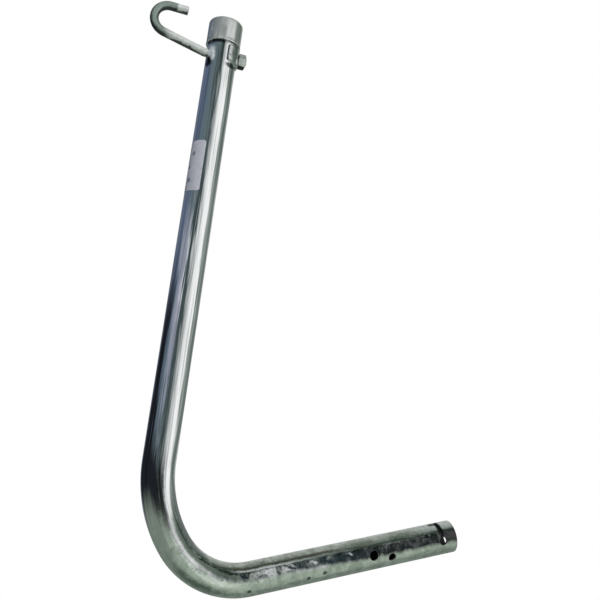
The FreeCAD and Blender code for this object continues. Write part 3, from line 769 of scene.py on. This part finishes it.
class TubeLine:
    """The tube's axis: the upright, a wide bend, a tight bend and the arm."""

    def __init__(self):
        sizes = settings().sizes
        self.arm = sizes.arm_length
        self.bolt_hole = sizes.bolt_hole_from_end
        self.upper = sizes.upper_bend_radius
        self.lower = sizes.lower_bend_radius
        self.rise = math.atan2(ARM.z, ARM.x)
        self.upper_turn = sizes.upper_bend_turn
        self.lower_turn = math.pi / 2 + self.rise - self.upper_turn
        self.arm_start = ARM * (self.bolt_hole - self.arm)
        self.lower_centre = self.arm_start + ARM_UP * self.lower
        outwards = Vector((math.cos(self.upper_turn), 0, math.sin(self.upper_turn)))
        self.upper_centre = self.lower_centre + (self.upper - self.lower) * outwards

    def points(self, overrun):
        """Points from above the tube's top to beyond the arm's end."""
        joint = math.pi + self.upper_turn
        top = Vector((UPRIGHT_X, 0, TUBE_TOP + overrun))
        upper_arc = arc_points(self.upper_centre, self.upper, math.pi, joint, UPPER_ARC_STEPS)
        lower_arc = arc_points(self.lower_centre, self.lower, joint, joint + self.lower_turn, LOWER_ARC_STEPS)
        return [top, *upper_arc, *lower_arc[1:], ARM * (self.bolt_hole + overrun)]

    def straighten(self, point):
        """Where a point would lie on a straight tube: along from the arm's end, across, out from the bend."""
        if point.z > self.upper_centre.z and point.x < self.lower_centre.x:
            bends = self.lower * self.lower_turn + self.upper * self.upper_turn
            return self.arm + bends + point.z - self.upper_centre.z, point.y, UPRIGHT_X - point.x
        if point.dot(ARM) > self.arm_start.dot(ARM):
            return self.bolt_hole - point.dot(ARM), point.y, -point.dot(ARM_UP)
        offset = point - self.lower_centre
        swept = 1.5 * math.pi + self.rise - math.atan2(offset.z, offset.x) % (2 * math.pi)
        if swept < self.lower_turn:
            return self.arm + self.lower * swept, point.y, math.hypot(offset.x, offset.z) - self.lower
        offset = point - self.upper_centre
        swept = math.pi + self.upper_turn - math.atan2(offset.z, offset.x) % (2 * math.pi)
        along = self.arm + self.lower * self.lower_turn + self.upper * swept
        return along, point.y, math.hypot(offset.x, offset.z) - self.upper

    def length(self):
        """Length of the axis."""
        return self.straighten(Vector((UPRIGHT_X, 0, TUBE_TOP)))[0]


def mark_tube(mesh, line):
    """Gives each point its place on the straightened tube, and marks the walls of holes and the bore."""
    wall = settings().sizes.tube_wall
    places = []
    depths = []
    for vertex in mesh.vertices:
        along, across, out = line.straighten(vertex.co)
        places += [along, across, out]
        depths.append(min(1.0, max(0.0, (TUBE_RADIUS - math.hypot(across, out)) / wall)))
    mesh.attributes.new("straight_place", "FLOAT_VECTOR", "POINT").data.foreach_set("vector", places)
    mark_points(mesh, "inside", depths)


def add_drill(work, centre, axis, radius):
    """Closed cylinder across the tube, for cutting."""
    side = axis.orthogonal().normalized()
    other = axis.cross(side)
    ends = (centre - axis * CUTTER_REACH, centre + axis * CUTTER_REACH)
    rings = [[end + radius * (math.cos(turn) * side + math.sin(turn) * other) for turn in turns(DRILL_POINTS)]
             for end in ends]
    for ring, end in zip(skin_rings(work, rings), ends):
        cap_ring(work, ring, end)


def make_drills():
    """Cutter for the arm's cross holes and the hook rod's holes."""
    work = bmesh.new()
    for name in ("main_bolt_hole", "second_bolt_hole", "end_notch_hole"):
        hole = mount(name)
        axis = Vector(hole["axis"]).normalized()
        add_drill(work, Vector(hole["pos_m"]), axis, hole["dims"]["r_mm"] / 1000)
    add_drill(work, Vector((UPRIGHT_X, 0, ROD_HEIGHT)), Vector((1, 0, 0)), settings().sizes.rod_hole_radius)
    return bpy.data.objects.new("drills", plain_mesh("drills", work))


def make_saw():
    """Cutter for the saw cut, from the end hole up through the arm's top."""
    foot = Vector(mount("end_notch_hole")["pos_m"])
    half = ARM * (settings().sizes.notch_width / 2)
    side = Vector((0, CUTTER_REACH, 0))
    square = (-half - side, half - side, half + side, side - half)
    work = bmesh.new()
    rings = [[foot + corner + ARM_UP * lift for corner in square] for lift in (0.0, CUTTER_REACH)]
    for ring in skin_rings(work, rings):
        work.faces.new(ring)
    return bpy.data.objects.new("saw", plain_mesh("saw", work))


# Geometry Nodes

FEWEST_FACES = 1000


class Steps(Graph):
    """A geometry tree with named inputs, worked out once on a carrier mesh."""

    def __init__(self, name, inputs):
        super().__init__(bpy.data.node_groups.new(name, "GeometryNodeTree"))
        self.names = {}
        for label, kind in inputs.items():
            made = self.tree.interface.new_socket(label, in_out="INPUT", socket_type="NodeSocket" + kind)
            self.names[label] = made.identifier
        self.tree.interface.new_socket("Result", in_out="OUTPUT", socket_type="NodeSocketGeometry")
        self.source = self.tree.nodes.new("NodeGroupInput")
        self.sink = self.tree.nodes.new("NodeGroupOutput")

    def get(self, label):
        """One of the tree's inputs."""
        return Value(self, self.source.outputs[label])

    def circle(self, points, radius):
        """Ring to sweep along a path."""
        return self.node("GeometryNodeCurvePrimitiveCircle", None, {"Resolution": points, "Radius": radius})

    def finish(self, result):
        """Ends the tree with real geometry and its material."""
        real = self.node("GeometryNodeRealizeInstances", None, {0: result})
        dressed = self.node("GeometryNodeSetMaterial", None,
                            {"Geometry": real, "Material": self.get("Finish")})
        self.tree.links.new(dressed.socket, self.sink.inputs[0])

    def run(self, name, carrier, values):
        """Plain mesh from the tree, worked out on a carrier mesh."""
        helper = add_object(name + "_helper", carrier)
        modifier = helper.modifiers.new("steps", "NODES")
        modifier.node_group = self.tree
        for label, value in values.items():
            modifier[self.names[label]] = value
        graph = bpy.context.evaluated_depsgraph_get()
        mesh = bpy.data.meshes.new_from_object(helper.evaluated_get(graph))
        mesh.name = name
        helper.modifiers.remove(modifier)
        bpy.data.objects.remove(helper)
        if len(mesh.polygons) < FEWEST_FACES:
            raise RuntimeError(name + " came out empty")
        smooth_with_edges(mesh)
        return mesh


def drilled_tube_steps():
    """A tube swept along a path, bored out and drilled."""
    steps = Steps("drilled_tube", {
        "Path": "Geometry", "Outer radius": "Float", "Bore radius": "Float", "Ring points": "Int",
        "Ring spacing": "Float", "Overrun": "Float", "Drills": "Object", "Saw": "Object",
        "Finish": "Material"})
    overrun = steps.get("Overrun")
    path = steps.node("GeometryNodeMeshToCurve", None, {0: steps.get("Path")})
    end = steps.node("GeometryNodeCurveLength", None, {0: path}) - overrun
    real = steps.node("GeometryNodeTrimCurve", {"mode": "LENGTH"}, {0: path, 4: overrun, 5: end})
    solids = []
    for curve, radius in ((real, "Outer radius"), (path, "Bore radius")):
        rings = steps.node("GeometryNodeResampleCurve", {"mode": "LENGTH"},
                           {"Curve": curve, "Length": steps.get("Ring spacing")})
        ring = steps.circle(steps.get("Ring points"), steps.get(radius))
        solids.append(steps.node("GeometryNodeCurveToMesh", None,
                                 {"Curve": rings, "Profile Curve": ring, "Fill Caps": True}))
    cut, bore = solids
    cutters = [bore]
    for label in ("Drills", "Saw"):
        cutter = steps.get(label)
        cutters.append(steps.node("GeometryNodeObjectInfo", None, {"Object": cutter}, out="Geometry"))
    for cutter in cutters:
        cut = steps.node("GeometryNodeMeshBoolean", {"operation": "DIFFERENCE", "solver": "MANIFOLD"},
                         {"Mesh 1": cut, "Mesh 2": cutter})
    steps.finish(cut)
    return steps


def threaded_rod_steps():
    """A rod swept along a path, with a thread cut round its straight end."""
    steps = Steps("threaded_rod", {
        "Path": "Geometry", "Rod radius": "Float", "Ring points": "Int", "Thread line": "Vector",
        "Thread pitch": "Float", "Thread depth": "Float", "Thread foot": "Float", "Finish": "Material"})
    radius, pitch, foot = [steps.get(label) for label in ("Rod radius", "Thread pitch", "Thread foot")]
    path = steps.node("GeometryNodeMeshToCurve", None, {0: steps.get("Path")})
    ring = steps.circle(steps.get("Ring points"), radius)
    girth = steps.node("GeometryNodeInputNamedAttribute", {"data_type": "FLOAT"}, {"Name": "girth"})
    rod = steps.node("GeometryNodeCurveToMesh", None,
                     {"Curve": path, "Profile Curve": ring, "Scale": girth, "Fill Caps": True})
    # The groove's depth follows the turn round the rod and the way along it.
    place = steps.node("GeometryNodeInputPosition")
    offset = steps.node("ShaderNodeVectorMath", {"operation": "SUBTRACT"},
                        {0: place, 1: steps.get("Thread line")})
    run, side, lift = [steps.node("ShaderNodeSeparateXYZ", None, {0: offset}, out=name) for name in "XYZ"]
    turn = steps.maths("ARCTAN2", side, lift) / (2 * math.pi)
    phase = steps.maths("FRACT", run / pitch + turn)
    groove = 1 - steps.maths("ABSOLUTE", phase * 2 - 1)
    cut = groove * steps.get("Thread depth") / radius * steps.step(run, foot, foot + pitch * 2)
    inwards = steps.node("ShaderNodeCombineXYZ", None, {0: 0.0, 1: side * cut * -1, 2: lift * cut * -1})
    steps.finish(steps.node("GeometryNodeSetPosition", None, {"Geometry": rod, "Offset": inwards}))
    return steps


# Operators for the pieces

# How far the bore's path runs past both ends of the tube.
BORE_OVERRUN = 0.010

# The cap's lip from the rim up: in from the lip's radius, and height.
CAP_LIP = ((0.0005, 0.0), (0.0001, 0.0002), (0.0, 0.0006), (0.0, 0.0014), (0.0001, 0.0019))
CAP_LIP_TOP = 0.0027
CAP_WALL_STEPS = 9
CAP_ROUND_STEPS = 12
CAP_TOP_STEPS = 6

# Points round the hook rod, and along each stretch of it from its threaded end.
HOOK_RING_POINTS = 48
STEPS_PER_PITCH = 8
PLAIN_STEPS = 8
CRANK_STEPS = 10
SHANK_STEPS = 24
CURL_STEPS = 72
TIP_STEPS = 12

# The nut's round face, as a share of half its flats. Its corners fall back from there, its rim by the edge.
NUT_FACE = 0.95
NUT_SLOPE = math.tan(math.radians(30.0))
NUT_EDGE = 0.0001
# A ring inside the nut's bore, from its seat.
NUT_BORE_RING = 0.0016
NUT_POINTS = 144

# The label's mesh, and the gap that keeps its underside off the tube.
LABEL_COLUMNS = 64
LABEL_ROWS = 36
LABEL_LIFT = 0.00002


class BRACKET_OT_tube(bpy.types.Operator):
    """Sweep, bore and drill the bent tube"""
    bl_idname = "bracket.tube"
    bl_label = "Bent tube"

    def execute(self, context):
        sizes = settings().sizes
        line = TubeLine()
        drills = make_drills()
        saw = make_saw()
        material = tube_zinc()
        mesh = drilled_tube_steps().run("bent_tube_zinc", path_mesh("tube_path", line.points(BORE_OVERRUN)), {
            "Outer radius": TUBE_RADIUS, "Bore radius": TUBE_RADIUS - sizes.tube_wall,
            "Ring points": sizes.ring_points, "Ring spacing": sizes.ring_spacing, "Overrun": BORE_OVERRUN,
            "Drills": drills, "Saw": saw, "Finish": material})
        for cutter in (drills, saw):
            bpy.data.objects.remove(cutter)
        mark_tube(mesh, line)
        keep("bent_tube_zinc", mesh, material, "bent_tube")
        return {"FINISHED"}


class BRACKET_OT_cap(bpy.types.Operator):
    """Turn the end cap"""
    bl_idname = "bracket.cap"
    bl_label = "End cap"

    def execute(self, context):
        sizes = settings().sizes
        outer, bore, chamfer = sizes.cap_radius, sizes.cap_bore, sizes.cap_rim_chamfer
        lip = outer + sizes.cap_lip
        flat = outer - sizes.cap_edge_round
        shoulder = sizes.cap_height - sizes.cap_edge_round
        profile = [(0, sizes.cap_overlap), (bore, sizes.cap_overlap), (bore, chamfer), (bore + chamfer, 0.0)]
        profile += [(lip - inwards, rise) for inwards, rise in CAP_LIP]
        for index in range(CAP_WALL_STEPS + 1):
            profile.append((outer, CAP_LIP_TOP + (shoulder - CAP_LIP_TOP) * index / CAP_WALL_STEPS))
        edge = arc_points(Vector((flat, 0, shoulder)), sizes.cap_edge_round, 0, math.pi / 2, CAP_ROUND_STEPS)
        profile += [(spot.x, spot.z) for spot in edge[1:]]
        for index in range(1, CAP_TOP_STEPS):
            profile.append((flat * (1 - index / CAP_TOP_STEPS), sizes.cap_height))
        profile.append((0, sizes.cap_height))
        mesh = lathe("end_cap_satin", profile, Vector((UPRIGHT_X, 0, CAP_RIM)))
        keep("end_cap_satin", mesh, satin_cap(), "end_cap")
        return {"FINISHED"}


class BRACKET_OT_hook(bpy.types.Operator):
    """Bend the hook rod and cut its thread"""
    bl_idname = "bracket.hook"
    bl_label = "Hook rod"

    def execute(self, context):
        sizes = settings().sizes
        centre = Vector((UPRIGHT_X, 0, ROD_HEIGHT))
        line = self.axis(sizes)
        path = path_mesh("hook_path", [centre + spot for spot in line])
        mark_points(path, "girth", self.girth(sizes, line))
        material = hook_zinc()
        mesh = threaded_rod_steps().run("hook_rod", path, {
            "Rod radius": sizes.rod_radius, "Ring points": HOOK_RING_POINTS, "Thread line": centre,
            "Thread pitch": sizes.thread_pitch, "Thread depth": sizes.thread_depth,
            "Thread foot": sizes.rod_end - sizes.thread_length, "Finish": material})
        mark_underside(mesh)
        mark_points(mesh, "flank", [1 - abs(vertex.normal.y) for vertex in mesh.vertices])
        keep("hook_rod", mesh, material, "hook")
        return {"FINISHED"}

    @staticmethod
    def axis(sizes):
        """Points from the threaded end to the tip, measured from where the rod crosses the upright's axis."""
        slope, bend, curl = sizes.crank_angle, sizes.crank_radius, sizes.hook_radius
        square = Vector((-math.sin(slope), 0, -math.cos(slope)))
        crank_start = Vector((-sizes.crank_start, 0, 0))
        crank_centre = crank_start + Vector((0, 0, bend))
        shank_start = crank_centre + bend * square
        curl_x = curl - sizes.hook_reach
        curl_z = shank_start.z + (curl + (shank_start.x - curl_x) * math.sin(slope)) / math.cos(slope)
        curl_centre = Vector((curl_x, 0, curl_z))
        tip = Vector((-sizes.tip_from_axis, 0, curl_z + curl))
        down = 1.5 * math.pi
        thread_step = sizes.thread_pitch / STEPS_PER_PITCH
        threads = int(sizes.thread_length / thread_step)
        line = [Vector((sizes.rod_end - thread_step * index, 0, 0)) for index in range(threads + 1)]
        line += spaced(line[-1], crank_start, PLAIN_STEPS)
        line += arc_points(crank_centre, bend, down, down - slope, CRANK_STEPS)[1:]
        line += spaced(line[-1], curl_centre + curl * square, SHANK_STEPS)
        line += arc_points(curl_centre, curl, down - slope, math.pi / 2, CURL_STEPS)[1:]
        line += spaced(line[-1], tip - Vector((sizes.tip_chamfer, 0, 0)), TIP_STEPS)
        return line + [tip]

    @staticmethod
    def girth(sizes, line):
        """Share of the rod's radius at each point: both ends are chamfered."""
        root = sizes.rod_radius - sizes.thread_depth
        shares = [min(1.0, (root + sizes.rod_end - spot.x) / sizes.rod_radius) for spot in line]
        shares[-1] = 1 - sizes.tip_chamfer / sizes.rod_radius
        return shares


class BRACKET_OT_fixings(bpy.types.Operator):
    """Make the hexagon nut and dress the saddle washer"""
    bl_idname = "bracket.fixings"
    bl_label = "Nut and saddle washer"

    def execute(self, context):
        work = bmesh.new()
        skin_rings(work, self.nut_rings(), closed=True)
        mesh = closed_mesh("hook_nut_hexagon", work, NUT_CORNER_ANGLE)
        mark_underside(mesh)
        nut_zinc = plain_zinc("nut_zinc", rough=0.24, wave=0.0001, metallic=0.8)
        keep("hook_nut_hexagon", mesh, nut_zinc, "hook_nut")
        washer_zinc = plain_zinc("washer_zinc", rough=0.16, wave=0.0003, metallic=1.0)
        dress(frame["nodes"]["saddle_washer"], washer_zinc)
        return {"FINISHED"}

    @staticmethod
    def nut_rings():
        """Rings of the nut, from the bore's start over its outside and back through the bore."""
        sizes = settings().sizes
        centre = Vector((UPRIGHT_X, 0, ROD_HEIGHT))
        bore = sizes.nut_bore
        chamfer = sizes.nut_bore_chamfer
        half = sizes.nut_flats / 2
        face = half * NUT_FACE
        corner = half / math.cos(math.pi / 6) - sizes.nut_corner
        lines = []
        for turn in turns(NUT_POINTS):
            off_flat = (turn + math.pi / 6) % (math.pi / 3) - math.pi / 6
            full = min(half / math.cos(off_flat), corner)
            back = max(0.0, (full - face) * NUT_SLOPE) + NUT_EDGE
            profile = ((bore, NUT_SEAT + chamfer), (bore + chamfer, NUT_SEAT), (face, NUT_SEAT),
                       (full, NUT_SEAT + back), (full, NUT_END - back), (face, NUT_END),
                       (bore + chamfer, NUT_END), (bore, NUT_END - chamfer), (bore, NUT_SEAT + NUT_BORE_RING))
            lines.append([centre + Vector((along, radius * math.sin(turn), radius * math.cos(turn)))
                          for radius, along in profile])
        return list(zip(*lines))


class BRACKET_OT_label(bpy.types.Operator):
    """Lay the plain label on the upright"""
    bl_idname = "bracket.label"
    bl_label = "Label"

    def execute(self, context):
        work = bmesh.new()
        made = skin_rings(work, [self.row_ring(row / LABEL_ROWS - 0.5) for row in range(LABEL_ROWS + 1)])
        for ring in (made[0], made[-1]):
            for index in range(LABEL_COLUMNS):
                work.faces.new((ring[index], ring[index + 1], ring[-2 - index], ring[-1 - index]))
        mesh = closed_mesh("label_sticker", work)
        keep("label_sticker", mesh, label_film(), "label")
        return {"FINISHED"}

    @staticmethod
    def row_ring(share):
        """Ring round the film at a share of its height: across its underside and back over its face."""
        sizes = settings().sizes
        corner = sizes.label_corner
        lift = sizes.label_height * share
        from_end = min(corner, sizes.label_height / 2 - abs(lift))
        inset = corner - math.sqrt(max(0.0, corner ** 2 - (corner - from_end) ** 2))
        width = sizes.label_width - 2 * inset
        first = 1.5 * math.pi - sizes.label_edge_turn - inset / TUBE_RADIUS
        sides = []
        for radius in (TUBE_RADIUS + LABEL_LIFT, TUBE_RADIUS + sizes.label_thick):
            side = []
            for column in range(LABEL_COLUMNS + 1):
                turn = first - width * column / LABEL_COLUMNS / TUBE_RADIUS
                side.append(Vector((UPRIGHT_X + radius * math.cos(turn), radius * math.sin(turn),
                                    LABEL_MIDDLE + lift)))
            sides.append(side)
        return sides[0] + sides[1][::-1]


# Studio

# Its walls are seen by reflections only. Turns are in degrees from the front, growing to the arm's side, and
# rises are in degrees from level.

WALLS = (
    (-180, (0.17, 0.19, 0.19)),
    (-150, (0.145, 0.172, 0.245)),
    (-102, (0.105, 0.135, 0.215)),
    (-78, (0.115, 0.16, 0.205)),
    (-38, (0.14, 0.18, 0.195)),
    (-20, (0.050, 0.072, 0.075)),
    (-11, (0.060, 0.082, 0.084)),
    (-4, (0.25, 0.27, 0.275)),
    (13, (0.75, 0.75, 0.76)),
    (28, (0.95, 0.95, 0.96)),
    (42, (1.04, 1.04, 1.04)),
    (60, (1.04, 1.04, 1.04)),
    (76, (0.36, 0.40, 0.38)),
    (103, (0.165, 0.20, 0.185)),
    (130, (0.17, 0.19, 0.185)),
    (146, (0.50, 0.53, 0.50)),
    (162, (0.50, 0.53, 0.50)),
)
DARK_CORNER = (0.014, 0.016, 0.021)
LILAC_WALL = (0.30, 0.32, 0.40)
SLIM_WINDOW = (0.80, 0.80, 0.86)
ROOF = (0.070, 0.100, 0.080)
BACK_ROOF = (0.38, 0.41, 0.375)
CEILING = (0.20, 0.225, 0.195)
NEAR_GROUND = (0.39, 0.46, 0.385)
FAR_GROUND = (0.21, 0.25, 0.215)
BRIGHT_GROUND = (0.64, 0.70, 0.64)
DARK_GROUND = (0.085, 0.12, 0.092)
FLOOR_GREY = (0.9, 0.9, 0.9)
WHITE = (1, 1, 1)
# Share of the white surroundings that lights the bracket.
FILL_LIGHT = 0.7


def wall_light():
    """Light of the studio's walls: a tall window, tinted walls, a roof and a ground."""
    radius = settings().studio.shell_radius
    material, g = new_material("studio_walls")
    place = g.place()
    east = g.dot(place, (1, 0, 0)) / radius
    toward = g.dot(place, (0, -1, 0)) / radius
    up = g.dot(place, (0, 0, 1)) / radius
    around = g.maths("ARCTAN2", east, toward) * math.degrees(1)
    rise = g.maths("ARCSINE", up) * math.degrees(1)

    # The window leans: low down, its edges lie further to the arm's side.
    lean = 14 * g.fall(rise, -4, 24) * g.step(around, -15, 20)
    lean = lean * (1 - g.step(around, 48, 66) * g.fall(rise, -7, 1))
    stops = [(turn / 360 + 0.5, shade) for turn, shade in WALLS]
    walls = g.node("ShaderNodeValToRGB", {"stops": stops}, {0: (around - lean) / 360 + 0.5})

    corner = g.band(around, -146, -89, 8) * g.fall(rise, 6, 17)
    lilac = g.step(around + rise * 1.8, -66, -54) * g.fall(around, -37, -30) * g.band(rise, -2, 18, 3)
    slim_window = g.band(around, -47, -34, 5) * g.band(rise, 9, 17, 3)
    roof = g.mix(g.step(around, 108 - 46 * g.step(rise, 42, 52), 132), ROOF, BACK_ROOF)
    roof_share = g.step(rise + 4 * g.step(around, 50, 65), 34, 42)
    skirting = g.fall(rise + 5 * g.step(around, -45, -25), -6, -2)
    skirting = skirting * g.step(around, -154, -138) * g.fall(around, 8, 20)

    ground = g.layers(FAR_GROUND, (
        (g.band(around, -25, 70, 25), NEAR_GROUND),
        (g.band(around, 3, 15, 4) * g.band(rise, -35, -12, 5), BRIGHT_GROUND),
        (g.fall(rise, -76, -50) * g.fall(east, -0.10, 0.30), DARK_GROUND)))
    # On the hook's side the ground starts lower down, and more softly.
    hook_side = g.fall(around, -35, 10)
    ground_share = g.fall((rise + 12 * hook_side + 6) / (9 * hook_side + 8), -1, 0)

    walls = g.layers(walls, (
        (corner, DARK_CORNER), (lilac, LILAC_WALL), (slim_window, SLIM_WINDOW), (roof_share, roof),
        (g.step(rise, 64, 76), CEILING), (skirting, DARK_CORNER), (ground_share, ground)))
    light = g.node("ShaderNodeEmission", None, {"Color": walls, "Strength": 1.0})
    g.node("ShaderNodeOutputMaterial", None, {"Surface": light})
    return material


def floor_white():
    """White where it is seen, and a pale grey floor for the light that falls on it."""
    material, g = new_material("pale_floor")
    plain = g.node("ShaderNodeBsdfDiffuse", None, {"Color": FLOOR_GREY})
    white = g.node("ShaderNodeEmission", None, {"Color": WHITE, "Strength": 1.0})
    mixed = g.node("ShaderNodeMixShader", None, {0: g.seen(), 1: plain, 2: white})
    g.node("ShaderNodeOutputMaterial", None, {"Surface": mixed})
    return material


class BRACKET_OT_stage(bpy.types.Operator):
    """Set the floor, the studio's walls, the light and the camera"""
    bl_idname = "bracket.stage"
    bl_label = "Studio"

    def execute(self, context):
        studio = settings().studio
        self.make_floor(studio)
        self.make_shell(studio)
        context.scene.world = self.make_world()
        self.make_lamp(studio)
        context.scene.camera = self.make_camera(studio)
        context.scene.view_settings.view_transform = "Standard"
        return {"FINISHED"}

    @staticmethod
    def make_floor(studio):
        """Wide floor, far below the bracket."""
        mesh = bpy.data.meshes.new("floor")
        reach = studio.floor_reach
        corners = ((-reach, -reach), (reach, -reach), (reach, reach), (-reach, reach))
        mesh.from_pydata([(x, y, -studio.floor_drop) for x, y in corners], [], [(0, 1, 2, 3)])
        floor = add_object("floor", mesh)
        dress(floor, floor_white())

    @staticmethod
    def make_shell(studio):
        """Tinted walls and a tall window round the bracket, which only the metal sees."""
        work = bmesh.new()
        bmesh.ops.create_uvsphere(work, u_segments=64, v_segments=32, radius=studio.shell_radius)
        bmesh.ops.reverse_faces(work, faces=work.faces)
        mesh = bpy.data.meshes.new("studio_walls")
        work.to_mesh(mesh)
        work.free()
        shell = add_object("studio_walls", mesh)
        dress(shell, wall_light())
        shell.location = (UPRIGHT_X / 2, 0, studio.shell_height)
        shell.visible_camera = False

    @staticmethod
    def make_world():
        """White all round, a little dimmer for the light that it gives."""
        world = bpy.data.worlds.new("studio_white")
        world.use_nodes = True
        g = Graph(world.node_tree)
        strength = g.seen() * (1 - FILL_LIGHT) + FILL_LIGHT
        back = g.node("ShaderNodeBackground", None, {"Color": WHITE, "Strength": strength})
        g.node("ShaderNodeOutputWorld", None, {"Surface": back})
        return world

    @staticmethod
    def make_lamp(studio):
        """Soft square lamp above the hook's side, which the metal doesn't mirror."""
        light = bpy.data.lights.new("soft_fill", "AREA")
        light.shape = "RECTANGLE"
        light.size = studio.lamp_size
        light.size_y = studio.lamp_size
        light.energy = studio.lamp_power
        lamp = add_object("soft_fill", light)
        lamp.location = studio.lamp_place
        aim = Vector((UPRIGHT_X, 0, studio.lamp_aim)) - Vector(studio.lamp_place)
        lamp.rotation_euler = aim.to_track_quat("-Z", "Y").to_euler()
        lamp.visible_glossy = False

    @staticmethod
    def make_camera(studio):
        """Camera that looks up at the bracket from its front."""
        camera = bpy.data.cameras.new("camera")
        camera.lens = studio.lens
        camera.sensor_width = studio.sensor
        camera.clip_start = 0.01
        holder = add_object("camera", camera)
        holder.location = studio.camera_place
        holder.rotation_euler = studio.camera_turn
        return holder


# Panel and registration

OPERATORS = (BRACKET_OT_tube, BRACKET_OT_cap, BRACKET_OT_hook, BRACKET_OT_fixings, BRACKET_OT_label,
             BRACKET_OT_stage)


class BRACKET_PT_panel(bpy.types.Panel):
    """Lists the bracket's pieces"""
    bl_idname = "BRACKET_PT_panel"
    bl_label = "Bracket"
    bl_space_type = "VIEW_3D"
    bl_region_type = "UI"
    bl_category = "Bracket"

    def draw(self, context):
        for operator in OPERATORS:
            self.layout.operator(operator.bl_idname)
        for group in settings():
            box = self.layout.box()
            for name in group.__annotations__:
                box.prop(group, name)


CLASSES = (BracketSizes, BracketFinish, BracketStudio, *OPERATORS, BRACKET_PT_panel)


def register():
    for item in CLASSES:
        bpy.utils.register_class(item)
    bpy.types.Scene.bracket_sizes = PointerProperty(type=BracketSizes)
    bpy.types.Scene.bracket_finish = PointerProperty(type=BracketFinish)
    bpy.types.Scene.bracket_studio = PointerProperty(type=BracketStudio)


def unregister():
    for name in ("bracket_sizes", "bracket_finish", "bracket_studio"):
        delattr(bpy.types.Scene, name)
    for item in reversed(CLASSES):
        bpy.utils.unregister_class(item)


def main():
    register()
    bpy.ops.bracket.tube()
    bpy.ops.bracket.cap()
    bpy.ops.bracket.hook()
    bpy.ops.bracket.fixings()
    bpy.ops.bracket.label()
    bpy.ops.bracket.stage()


if __name__ == "__main__":
    main()
